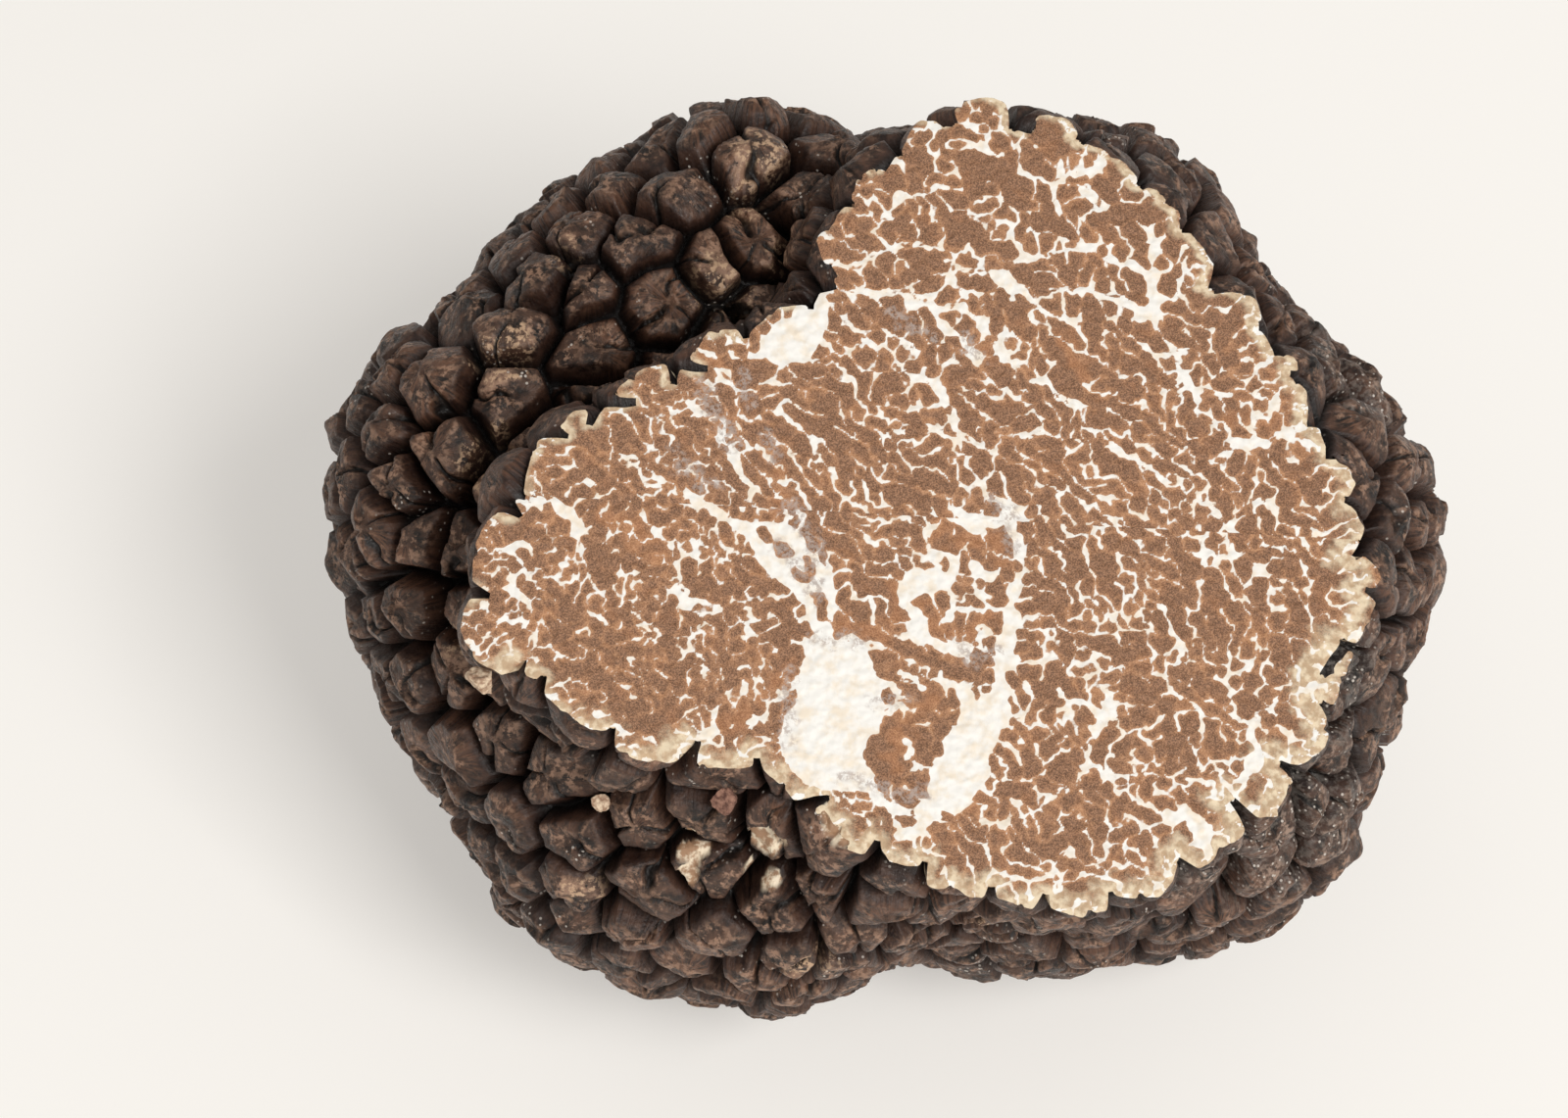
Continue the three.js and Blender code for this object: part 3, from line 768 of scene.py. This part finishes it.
def lobe_seeds(spacing, main, inward):
    """Middles of the small brown lobes, no closer than the spacing and clear of the main veins."""
    draw = np.random.default_rng(3)
    boxes, seeds = {}, []
    for x, y in draw.uniform(FLESH_LOW, FLESH_HIGH, (LOBE_TRIES, 2)):
        place = int((y - FLESH_LOW[1]) / FLESH_STEP), int((x - FLESH_LOW[0]) / FLESH_STEP)
        gap = spacing[place]
        if inward[place] < -1.2 or main[place] > -0.1 * gap:
            continue
        a, b = int(x // BOX), int(y // BOX)
        close = (q for i in (-1, 0, 1) for j in (-1, 0, 1) for q in boxes.get((a + i, b + j), ()))
        if all((q[0] - x) ** 2 + (q[1] - y) ** 2 >= gap * gap for q in close):
            boxes.setdefault((a, b), []).append((x, y))
            seeds.append((x, y, gap))
    return np.array(seeds)


def borders(owner, main, count):
    """The pairs of lobes that touch, how long each border is, and how much of it a main vein fills."""
    keys, filled = [], []
    for a, b, m in (
        (owner[:, 1:], owner[:, :-1], np.maximum(main[:, 1:], main[:, :-1])),
        (owner[1:], owner[:-1], np.maximum(main[1:], main[:-1])),
    ):
        edge = (a != b) & (a >= 0) & (b >= 0)
        keys.append(np.minimum(a[edge], b[edge]) * count + np.maximum(a[edge], b[edge]))
        filled.append(m[edge] > -0.12)
    keys, back = np.unique(np.concatenate(keys), return_inverse=True)
    length = np.bincount(back)
    return keys // count, keys % count, length, np.bincount(back, weights=np.concatenate(filled)) / length


def opened_borders(a, b, length, blocked, cost, count):
    """Opens the cheapest borders until every lobe can be reached, then a few more. What stays is the vein."""
    opened = length * FLESH_STEP < SHORT_BORDER
    order = [e for e in np.argsort(cost) if blocked[e] < FILLED and not opened[e]]
    root = list(range(count))

    def top_of(x):
        while root[x] != x:
            root[x] = root[root[x]]
            x = root[x]
        return x

    for e in order:
        p, q = top_of(a[e]), top_of(b[e])
        if p != q:
            root[p] = q
            opened[e] = True
    rest = [e for e in order if not opened[e]]
    opened[rest[: int(OPEN_EXTRA * len(rest))]] = True
    return opened


def fold_walls(main, inward, left, run, strong):
    """The fine veins: walls of a branching maze between small lobes, as millimetres inside the white, and how
    far each point is from the middle of its lobe, as a share of the lobe's size."""
    spacing = (LOBE_GAP * (1 - left) + LEFT_LOBE_GAP * left) * np.clip(1 + 0.2 * cloud(2.5, 5), 0.7, 1.35)
    spacing *= 1 + TOP_LOBES_LARGER * past((upward - 10, 2))
    seeds = lobe_seeds(spacing, main, inward)
    n = len(seeds)
    draw = np.random.default_rng(99)
    home = grid_place(seeds[:, 0], seeds[:, 1])
    lean = np.where(strong[home] > 0.3, run[home] + draw.normal(0, 0.5, n), draw.uniform(0, math.pi, n))
    stretch = np.sqrt(1 + (LOBE_STRETCH - 1) * draw.uniform(0.2, 1.3, n))
    c, s = np.cos(lean), np.sin(lean)
    size = seeds[:, 2] * draw.uniform(0.85, 1.15, n)
    warp_x = across + 0.05 * cloud(0.4, 41) + 0.12 * cloud(1.6, 43)
    warp_y = upward + 0.05 * cloud(0.4, 42) + 0.12 * cloud(1.6, 44)

    def away(q):
        x, y, gap = seeds[q]
        near = around(x, y, LOBE_REACH * gap)
        dx, dy = warp_x[near] - x, warp_y[near] - y
        long, wide = (dx * c[q] + dy * s[q]) / stretch[q], (dy * c[q] - dx * s[q]) * stretch[q]
        return near, np.hypot(long, wide) / size[q]

    first, owner = np.full(across.shape, 9.0), np.full(across.shape, -1)
    for q in range(n):
        near, d = away(q)
        closer = d < first[near]
        first[near] = np.where(closer, d, first[near])
        owner[near] = np.where(closer, q, owner[near])
    a, b, length, blocked = borders(owner, main, n)
    middle = grid_place((seeds[a, 0] + seeds[b, 0]) / 2, (seeds[a, 1] + seeds[b, 1]) / 2)
    heading = np.arctan2(seeds[b, 1] - seeds[a, 1], seeds[b, 0] - seeds[a, 0])
    with_run = np.cos(2 * (heading - run[middle])) * (strong[home][a] + strong[home][b]) / 2
    cost = draw.uniform(0, 1, len(a)) - RUN_SOONER * with_run - LONG_SOONER * length / length.mean()
    cost -= LEFT_SOONER * left[home][a]
    opened = opened_borders(a, b, length, blocked, cost, n)
    half = np.full((n, n), OPEN_HALF, np.float32)
    shut_half = VEIN_HALF * np.exp(draw.normal(0, VEIN_SPREAD, len(a)))
    half[a, b] = half[b, a] = np.where(opened, OPEN_HALF, shut_half)
    total = np.zeros(across.shape)
    for q in range(n):
        near, d = away(q)
        here = owner[near]
        from_wall = 0.5 * (d - first[near]) * size[here]
        within = (half[here, q] - from_wall) / CORNER_ROUND
        total[near] += np.where(here == q, 0, np.exp(np.minimum(within, 20)))
    inside = CORNER_ROUND * np.log(np.maximum(total, 1e-9))
    corner = CORNER_SWELL * (1 - 0.4 * left) * np.maximum(first - CORNER_FROM, 0)
    inside += corner * size[owner] - LEFT_THINNER * left
    return np.where(first > 1.5, 1.0, inside), first


def vein_field():
    """The white veins, the grey threads and the warm tissue, each above 0 inside it and below 0 outside, in
    rough millimetres."""
    main = drawn(VEINS)
    inward, left, run, strong = slice_regions()
    walls, first = fold_walls(main, inward, left, run, strong)
    walls = walls + 0.015 * cloud(0.7, 8) + 0.02 * cloud(2.5, 9)
    field = np.maximum(walls, main + MAIN_SWELL * (np.clip(first, 0.55, 1.0) - 0.85) + 0.02 * cloud(0.7, 8))
    field = np.minimum(field, -(drawn(LOBES) + 0.05 * cloud(0.5, 61)))
    field = np.maximum(field, drawn(HOLES) + 0.06 * cloud(0.4, 62))
    return field, drawn(THREADS) + 0.15 * cloud(0.5, 63), drawn(WARM) + 0.2 * cloud(0.8, 64)


def slice_outline(whole):
    """The edge of the slice as pairs of points on it, from the open edge of the skin."""
    bm = from_mesh(whole)
    ends = np.array([[v.co for v in e.verts] for e in bm.edges if e.is_boundary], float) / MM
    bm.free()
    level = np.abs((ends - CUT_CENTRE) @ CUT_NORMAL).max(1)
    ends = ends[level < 0.01] - CUT_CENTRE
    return np.stack([ends @ CUT_RIGHT, ends @ CUT_UP], 2)


def inside_outline(outline):
    """Which points of the grid are inside the outline, row by row."""
    inside = np.zeros(across.shape, bool)
    (x0, y0), (x1, y1) = outline[:, 0].T, outline[:, 1].T
    for row in range(ROWS):
        y = upward[row, 0] + 1e-7
        crossed = (y0 > y) != (y1 > y)
        (xa, ya), (xb, yb) = (x0[crossed], y0[crossed]), (x1[crossed], y1[crossed])
        at = np.sort(xa + (y - ya) * (xb - xa) / (yb - ya))
        inside[row] = np.searchsorted(at, across[row]) % 2 == 1
    return inside


def near_any(mask, radius):
    """Which points of the grid have a point of the mask within that radius."""
    j, i = np.indices(mask.shape)
    j, i = np.minimum(j, ROWS - j), np.minimum(i, COLUMNS - i)
    disc = np.hypot(j, i) * FLESH_STEP <= radius
    share = np.fft.irfft2(np.fft.rfft2(mask) * np.fft.rfft2(disc / disc.sum()), s=mask.shape)
    return share > 1e-3


def bridged(mask, radius):
    """The mask with its cracks narrower than twice the radius filled."""
    return mask | ~near_any(~near_any(mask, radius), radius)


FLESH_PARTS = {"flesh_upper": 1, "flesh_lower": -1}
# how wide the clear margin under the skin is, every 30 degrees round the slice
MARGIN_WIDTH = [1.0, 0.5, 0.4, 0.35, 0.4, 0.4, 0.5, 0.95, 1.1, 1.1, 1.25, 1.25]
# cracks in the slice's edge narrower than twice this are filled with flesh, the wider ones at the top too
CRACK_BRIDGE, TOP_BRIDGE = 0.24, 0.6
# the top lobe lies to the right of and above this place
TOP_FROM = (-3, 9)
# where close points lie along each short edge of the outline
EDGE_SHARES = np.arange(0, 1, 0.125)
# the two parts of the flesh meet at this height
FLESH_SPLIT = -1.0
SPLIT_ROW = int(round((FLESH_SPLIT - FLESH_LOW[1]) / FLESH_STEP))
FLESH_DEPTH = 0.7
FLESH_INSET = 0.04
# how far the flesh and its veins stand proud, and how far from the rim the flesh is at its full height
FLESH_PROUD, VEIN_PROUD, RIM_SLOPE = 0.05, 0.03, 0.3
# a point of the sheet's edge within this many steps of the outline is moved onto it, the second at the split
SEAT_REACH, SPLIT_REACH = 1.5, 0.9


def nearest_place(spots):
    """The row and column of the grid nearest to each point."""
    i = np.rint((spots[:, 0] - FLESH_LOW[0]) / FLESH_STEP).astype(int)
    return np.rint((spots[:, 1] - FLESH_LOW[1]) / FLESH_STEP).astype(int), i


def finder(spots):
    tree = kdtree.KDTree(len(spots))
    for number, spot in enumerate(spots):
        tree.insert(spot, number)
    tree.balance()
    return tree


def flesh_sheet(inside, side):
    """The grid on one side of the split, where it lies inside the outline."""
    bm = bmesh.new()
    size = (FLESH_HIGH - FLESH_LOW) / 2
    place = Matrix.Translation((*((FLESH_HIGH + FLESH_LOW) / 2), 0)) @ Matrix.Diagonal((*size, 1, 1))
    bmesh.ops.create_grid(bm, x_segments=COLUMNS - 1, y_segments=ROWS - 1, size=1, matrix=place)
    j, i = nearest_place(points_of(bm))
    delete_points(bm, ~(inside[j, i] & ((j - SPLIT_ROW) * side >= 0)))
    delete_loose(bm)
    return bm


def seat_edge(bm, edge_finder):
    """Moves the sheet's edge onto the outline, and gives each point's distance from it."""
    split = FLESH_LOW[1] + SPLIT_ROW * FLESH_STEP
    seats = []
    for v in (v for v in bm.verts if v.is_boundary):
        seat, _, gap = edge_finder.find(v.co)
        at_split = abs(v.co.y - split) < 0.1 * FLESH_STEP
        if gap < (SPLIT_REACH if at_split else SEAT_REACH) * FLESH_STEP:
            v.co = seat
        if not at_split:
            seats.append(v.co.copy())
    seat_finder = finder(seats)
    return np.array([seat_finder.find(v.co)[2] for v in bm.verts])


def slab_below(bm):
    """Gives the sheet a wall and a back, which makes it a thin slab."""
    rim_edges = [e for e in bm.edges if e.is_boundary]
    for e in rim_edges:
        e.smooth = False
    made = bmesh.ops.extrude_edge_only(bm, edges=rim_edges)["geom"]
    centre = Vector(CUT_CENTRE * MM)
    down = Vector(-CUT_NORMAL * FLESH_DEPTH * MM)
    for v in (g for g in made if isinstance(g, bmesh.types.BMVert)):
        v.co = centre + (v.co - centre) * (1 - FLESH_INSET) + down
    bmesh.ops.edgeloop_fill(bm, edges=[e for e in bm.edges if e.is_boundary])


def flesh_parts(outline, material):
    field, threads, warm = vein_field()
    inside = inside_outline(outline)
    on_top = (across > TOP_FROM[0]) & (upward > TOP_FROM[1])
    inside = np.where(on_top, bridged(inside, TOP_BRIDGE), bridged(inside, CRACK_BRIDGE))
    dots = np.concatenate([outline[:, 0] + (outline[:, 1] - outline[:, 0]) * t for t in EDGE_SHARES])
    edge_finder = finder(np.column_stack([dots, np.zeros(len(dots))]))
    relief = 0.02 * cloud(0.5, 51) + 0.012 * cloud(0.25, 52)
    pieces = []
    for name, side in FLESH_PARTS.items():
        bm = flesh_sheet(inside, side)
        rim = seat_edge(bm, edge_finder)
        spots = points_of(bm)
        at = nearest_place(spots)
        vein = field[at]
        lift = (FLESH_PROUD + relief[at] + VEIN_PROUD * ease(vein, -0.1, 0.1)) * ease(rim, 0.0, RIM_SLOPE)
        world = CUT_CENTRE + spots[:, :1] * CUT_RIGHT + spots[:, 1:2] * CUT_UP + lift[:, None] * CUT_NORMAL
        move_points(bm, world * MM)
        slab_below(bm)
        mesh = as_mesh(bm, name)
        width = round_the_turn(MARGIN_WIDTH, np.arctan2(spots[:, 1], spots[:, 0]))
        # each value on the face of the slab, and on its back
        for key, face, back in (
            ("vein", vein, -1.0),
            ("margin", rim / width, 0.0),
            ("threads", threads[at], -1.0),
            ("warm", warm[at], -1.0),
        ):
            rest = np.full(len(mesh.vertices) - len(face), back)
            write_attribute(mesh, key, np.concatenate([face, rest]))
        pieces.append(finished(mesh, name, material))
    return pieces


# -------------------------------- finishes
def paint(red, green, blue):
    """A colour as the eye reads it, 0 to 255, in Blender's linear light."""
    levels = [x / 255 for x in (red, green, blue)]
    return [((x + 0.055) / 1.055) ** 2.4 if x > 0.04 else x / 12.92 for x in levels] + [1.0]


class Finish:
    """A procedural finish on Object coordinates and the piece's own attributes, built node by node."""

    def __init__(self, name):
        self.material = bpy.data.materials.new(name)
        self.material.use_nodes = True
        self.tree = self.material.node_tree
        self.shader = self.tree.nodes["Principled BSDF"]
        self.place = self.tree.nodes.new("ShaderNodeTexCoord").outputs["Object"]

    def add(self, kind, inputs, **settings):
        node = self.tree.nodes.new(kind)
        for name, value in settings.items():
            setattr(node, name, value)
        for key, value in inputs.items():
            self.plug(node.inputs[key], value)
        return node

    def plug(self, socket, value):
        if isinstance(value, bpy.types.NodeSocket):
            self.tree.links.new(value, socket)
        else:
            socket.default_value = value

    def shade(self, **values):
        for name, value in values.items():
            self.plug(self.shader.inputs[name.replace("_", " ")], value)

    def attribute(self, name, output="Fac"):
        return self.add("ShaderNodeAttribute", {}, attribute_name=name).outputs[output]

    def attributes(self, *names):
        return [self.attribute(name) for name in names]

    def noise(self, size, detail=4.0, rough=0.55, place=None):
        """Noise from 0 to 1 with lumps of about that size in millimetres."""
        inputs = {"Vector": place or self.place, "Scale": 1 / (size * (1 if place else MM))}
        inputs.update({"Detail": detail, "Roughness": rough})
        return self.add("ShaderNodeTexNoise", inputs).outputs["Fac"]

    def dots(self, size):
        """Distance to scattered dots about that far apart in millimetres, as a share of it."""
        inputs = {"Vector": self.place, "Scale": 1 / (size * MM)}
        return self.add("ShaderNodeTexVoronoi", inputs).outputs["Distance"]

    def ease(self, value, low, high, out_low=0.0, out_high=1.0):
        inputs = {"Value": value, "From Min": low, "From Max": high, "To Min": out_low, "To Max": out_high}
        return self.add("ShaderNodeMapRange", inputs, interpolation_type="SMOOTHSTEP").outputs["Result"]

    def math(self, operation, a, b=0.0):
        return self.add("ShaderNodeMath", {0: a, 1: b}, operation=operation).outputs[0]

    def times(self, a, b):
        return self.math("MULTIPLY", a, b)

    def mix(self, share, a, b):
        return self.add("ShaderNodeMix", {0: share, 6: a, 7: b}, data_type="RGBA").outputs[2]

    def tones(self, share, dark, light):
        """From one paint to another as the share goes from 0 to 1."""
        return self.mix(share, paint(*dark), paint(*light))

    def coat(self, under, share, tone, strength=1.0):
        """A paint laid over what is there, where the share says and at that strength."""
        return self.mix(share if strength == 1 else self.times(share, strength), under, paint(*tone))

    def bumps(self, *layers):
        """Bumps one on another, each a height, its depth in millimetres and its strength."""
        normal = None
        for height, depth, strength in layers:
            inputs = {"Height": height, "Distance": depth * MM, "Strength": strength}
            if normal is not None:
                inputs["Normal"] = normal
            normal = self.add("ShaderNodeBump", inputs).outputs["Normal"]
        return normal


def skin_finish():
    f = Finish("truffle_skin")
    groove, top, tone, ridge = f.attributes("groove", "top", "tone", "ridge")
    chip, scar, dust_and_sheen = f.attributes("chip", "scar", "dust_and_sheen")
    streaks = f.noise(0.5, detail=5, rough=0.6, place=f.attribute("spokes", "Vector"))
    patches = f.noise(5.5, detail=3)
    mottle = f.noise(0.9, detail=6, rough=0.62)
    scuffs = f.noise(0.42, detail=5, rough=0.65)
    grit = f.noise(0.14, detail=3, rough=0.6)
    colour = f.tones(f.ease(mottle, 0.36, 0.66), (21, 15, 12), (82, 58, 45))
    brown = f.times(f.ease(patches, 0.40, 0.62), f.ease(streaks, 0.42, 0.62))
    colour = f.coat(colour, brown, (126, 88, 66), 0.65)
    # the sharp edges of its blocks scuffed paler
    edge = f.times(f.ease(ridge, 0.02, 0.16, 1.0, 0.0), f.ease(scuffs, 0.42, 0.60))
    edge = f.times(edge, f.ease(top, 0.15, 0.5))
    colour = f.coat(colour, edge, (148, 116, 95), 0.7)
    # tops scuffed down to tan, most of all on the scars
    worn = f.math("ADD", scuffs, f.times(tone, 0.05))
    worn = f.math("ADD", worn, f.ease(scar, -0.2, 0.6, 0.0, 0.16))
    worn = f.times(f.ease(worn, 0.52, 0.63), f.ease(top, 0.12, 0.6))
    worn = f.times(worn, f.ease(f.noise(1.9, detail=4), 0.40, 0.56))
    colour = f.coat(colour, worn, (160, 126, 104), 0.8)
    bare = f.times(f.ease(scar, 0.1, 0.7), f.ease(scuffs, 0.5, 0.58))
    colour = f.coat(colour, bare, (204, 170, 138), 0.85)
    # the grooves tinted a darker reddish brown, and painted shade: near black in the grooves and along the
    # radial cracks
    colour = f.coat(colour, f.ease(groove, 0.2, 1.0, 0.55, 0.0), (52, 27, 19))
    cleft_shade = f.ease(groove, 0.06, 0.56, 1.0, 0.0)
    way = f.add("ShaderNodeSeparateXYZ", {"Vector": f.attribute("crack_way", "Vector")}).outputs
    on = f.add("ShaderNodeSeparateXYZ", {"Vector": f.attribute("crack_on", "Vector")}).outputs
    for k in range(CRACKS):
        line = f.ease(f.math("ABSOLUTE", way[k]), 0.05, 0.19, 1.0, 0.0)
        cleft_shade = f.math("MAXIMUM", cleft_shade, f.times(line, on[k]))
    # painted shade laid over the clefts and cracks
    colour = f.coat(colour, cleft_shade, (9, 6, 5), 0.95)
    # pale dusty specks, which also stand as painted glints
    speckled = f.ease(f.noise(3.0, detail=2), 0.56, 0.70)
    speckled = f.math("MAXIMUM", speckled, f.ease(dust_and_sheen, -0.5, 1.5))
    # the pale specks are partly dusty grains and partly painted glints
    speck_and_glint = f.times(f.ease(f.dots(0.42), 0.14, 0.24, 1.0, 0.0), speckled)
    colour = f.coat(colour, speck_and_glint, (214, 206, 196), 0.8)
    # a grey veil, partly dusty and partly a painted sheen that makes the skin on the right paler
    dusty_sheen = f.times(f.ease(dust_and_sheen, -1.5, 1.5), f.ease(scuffs, 0.45, 0.6))
    colour = f.coat(colour, dusty_sheen, (150, 142, 134), 0.28)
    # pale flesh in the broken tops
    pale = f.tones(f.ease(f.noise(0.6, detail=5), 0.42, 0.58), (168, 132, 102), (242, 226, 200))
    colour = f.mix(chip, colour, pale)
    relief = f.bumps((streaks, 0.12, 0.8), (mottle, 0.12, 0.7), (scuffs, 0.08, 0.7), (grit, 0.03, 0.8))
    rough = f.ease(grit, 0.3, 0.7, 0.34, 0.62)
    f.shade(Base_Color=colour, Roughness=rough, Normal=relief, Specular_IOR_Level=0.42)
    return f.material


def flesh_finish():
    f = Finish("truffle_flesh")
    vein, threads, warm, margin = f.attributes("vein", "threads", "warm", "margin")
    frayed = f.noise(0.2, detail=4, rough=0.6)
    frayed = f.math("ADD", vein, f.times(f.math("SUBTRACT", frayed, 0.5), 0.06))
    grain = f.noise(0.085, detail=3, rough=0.8)
    cloudy = f.noise(1.3, detail=4)
    dark_grain = f.ease(f.noise(0.13, detail=2, rough=0.7), 0.53, 0.61)
    brown = f.tones(f.ease(grain, 0.38, 0.62), (97, 69, 50), (172, 128, 97))
    brown = f.coat(brown, dark_grain, (84, 56, 38), 0.5)
    warmth = f.math("MAXIMUM", f.ease(cloudy, 0.52, 0.70, 0.0, 0.5), f.ease(warm, -0.5, 0.4))
    orange = f.tones(f.ease(grain, 0.3, 0.7), (146, 96, 62), (198, 142, 100))
    brown = f.mix(f.times(warmth, 0.65), brown, orange)
    # a warm pale border beside each vein
    beside = f.tones(f.ease(grain, 0.3, 0.7), (166, 112, 74), (212, 164, 124))
    halo = f.times(f.ease(frayed, -0.22, -0.01), f.ease(cloudy, 0.36, 0.60, 0.4, 1.0))
    colour = f.mix(f.times(halo, 0.8), brown, beside)
    # a clear, creamy margin under the skin
    ragged = f.times(f.math("SUBTRACT", f.noise(1.1, detail=4), 0.5), 2.4)
    margin = f.ease(f.math("ADD", margin, ragged), 0.15, 1.1, 1.0, 0.0)
    cream = f.tones(f.ease(f.noise(0.5, detail=4), 0.38, 0.62), (196, 170, 138), (236, 220, 190))
    colour = f.mix(f.times(margin, 0.85), colour, cream)
    milk = f.tones(f.ease(f.noise(0.9, detail=4), 0.40, 0.70), (240, 238, 233), (234, 222, 204))
    colour = f.mix(f.ease(frayed, -0.02, 0.03), colour, milk)
    # grey threads, half clear
    fluff = f.times(f.ease(threads, -0.3, 0.2), f.ease(f.noise(0.25, detail=4, rough=0.7), 0.42, 0.56))
    colour = f.coat(colour, fluff, (176, 162, 154), 0.75)
    f.shade(Base_Color=colour, Roughness=0.62, Normal=f.bumps((grain, 0.05, 0.5)), Specular_IOR_Level=0.35)
    return f.material


def crumb_finish(name, dark, light, rough):
    f = Finish(name)
    colour = f.tones(f.ease(f.noise(0.35, detail=6, rough=0.62), 0.36, 0.66), dark, light)
    f.shade(Base_Color=colour, Roughness=rough, Normal=f.bumps((f.noise(0.15, detail=4), 0.08, 0.7)))
    return f.material


# -------------------------------- the crumbs that cling to the skin
CRUMB_BITE = 0.15
FARTHEST_MOVE = 1.2
CRUMB_SIDES = 9


def crumb(node, seed, material, skin_points):
    """A broken crumb with flat sides in the place of its node, moved in until it bites into the skin."""
    low, high = (np.array(x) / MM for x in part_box(node))
    middle, half = (low + high) / 2, (high - low) / 2
    way_in = skin_points[np.argmin(((skin_points - middle) ** 2).sum(1))] - middle
    gap = np.linalg.norm(way_in)
    own_reach = 1 / np.linalg.norm(way_in / gap / half)
    middle = middle + way_in / gap * np.clip(gap - own_reach + CRUMB_BITE, 0, FARTHEST_MOVE)
    bm = bmesh.new()
    bmesh.ops.create_icosphere(bm, subdivisions=5, radius=1.0)
    p = points_of(bm)
    draw = np.random.default_rng(seed)
    for side in unit(draw.normal(size=(CRUMB_SIDES, 3))):
        over = np.maximum(p @ side - draw.uniform(0.45, 0.85), 0)
        p = p - over[:, None] * side
    p = p * (1 + 0.10 * lumps(p, 0.35, seed) + 0.06 * lumps(p, 0.15, seed + 1))[:, None]
    p = p / np.abs(p).max(0)
    move_points(bm, (middle + p * half) * MM)
    name = node + "_looks"
    return finished(as_mesh(bm, name), name, material)


# -------------------------------- put together
def belongs(piece, node):
    """The piece is hung under the root and stands in for that node, which is hidden."""
    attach(piece, "root")
    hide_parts(node)


skin_material, flesh_material = skin_finish(), flesh_finish()
whole_skin = warted_skin()
skin_pieces = skin_parts(whole_skin, skin_material)
flesh_pieces = flesh_parts(slice_outline(whole_skin), flesh_material)
skin_points = mesh_points(whole_skin) / MM
bpy.data.meshes.remove(whole_skin)
for piece in skin_pieces:
    belongs(piece, "truffle")
for piece in flesh_pieces:
    belongs(piece, "truffle")
tan_crumb = crumb_finish("pale_crumb", (150, 116, 92), (226, 204, 176), 0.75)
soil_crumb = crumb_finish("soil_crumb", (92, 60, 50), (158, 118, 100), 0.9)
for node, seed, material, slot in (
    ("flesh_crumb", 3, tan_crumb, "flesh"),
    ("soil_grain", 5, soil_crumb, "soil"),
    ("skin_flake", 9, tan_crumb, "flesh"),
):
    belongs(crumb(node, seed, material, skin_points), node)

# -------------------------------- floor, light and camera
VIEW_RIGHT = np.array([1.0, 0.0, 0.0])
VIEW_UP = np.cross(VIEW_BACK, VIEW_RIGHT)
CAMERA_DISTANCE = 340.0
FRAME_WIDTH = 86.67
SENSOR_WIDTH = 36
# what the camera looks at, to the right of and above the slice's centre in its view
AIM_RIGHT, AIM_UP = -8.13, -3.28
FLOOR_HALF = 1.5
# the floor gives off a little light of its own, so that it stays pale in the truffle's shadow
FLOOR_TONE, FLOOR_GLOW, GLOW_STRENGTH = [0.64, 0.632, 0.61, 1.0], [1.0, 0.966, 0.922, 1.0], 0.368
LIGHT_AIM = Vector((0, 0, 0.025))
STUDIO_TONE, STUDIO_STRENGTH = (255, 251, 246), 0.44


def pale_floor():
    bm = bmesh.new()
    bmesh.ops.create_grid(bm, x_segments=2, y_segments=2, size=FLOOR_HALF)
    f = Finish("pale_floor")
    f.shade(Base_Color=FLOOR_TONE, Roughness=0.9, Specular_IOR_Level=0.1)
    f.shade(Emission_Color=FLOOR_GLOW, Emission_Strength=GLOW_STRENGTH)
    floor = finished(as_mesh(bm, "floor"), "floor", f.material)


def aimed(thing, way):
    """Turns a light or the camera to look against that way."""
    thing.rotation_euler = way.to_track_quat("Z", "Y").to_euler()


def soft_light(name, azimuth, elevation, distance, size, power, colour):
    """A square soft light aimed at the truffle. Azimuth 0 is to the right, turning towards the camera."""
    a, e = math.radians(azimuth), math.radians(elevation)
    way = Vector((math.cos(a) * math.cos(e), -math.sin(a) * math.cos(e), math.sin(e)))
    light = bpy.data.lights.new(name, "AREA")
    light.size, light.energy, light.color = size, power, colour
    lamp = in_scene(name, light)
    lamp.location = way * distance + LIGHT_AIM
    aimed(lamp, way)


def studio():
    world = bpy.data.worlds.new("studio")
    world.use_nodes = True
    background = world.node_tree.nodes["Background"]
    background.inputs["Color"].default_value = paint(*STUDIO_TONE)
    background.inputs["Strength"].default_value = STUDIO_STRENGTH
    bpy.context.scene.world = world


def camera():
    data = bpy.data.cameras.new("camera")
    data.sensor_width = SENSOR_WIDTH
    data.lens = SENSOR_WIDTH * CAMERA_DISTANCE / FRAME_WIDTH
    data.clip_start, data.clip_end = 0.01, 10
    eye = in_scene("camera", data)
    aim = CUT_CENTRE + AIM_RIGHT * VIEW_RIGHT + AIM_UP * VIEW_UP
    eye.location = Vector((aim + CAMERA_DISTANCE * VIEW_BACK) * MM)
    aimed(eye, Vector(VIEW_BACK))
    bpy.context.scene.camera = eye


bpy.context.scene.view_settings.view_transform = "Standard"
pale_floor()
soft_light("key", azimuth=57, elevation=52, distance=0.9, size=0.30, power=4.9, colour=(1.0, 0.985, 0.965))
soft_light("fill", azimuth=60, elevation=20, distance=0.9, size=0.70, power=1.3, colour=(1.0, 0.975, 0.94))
studio()
camera()
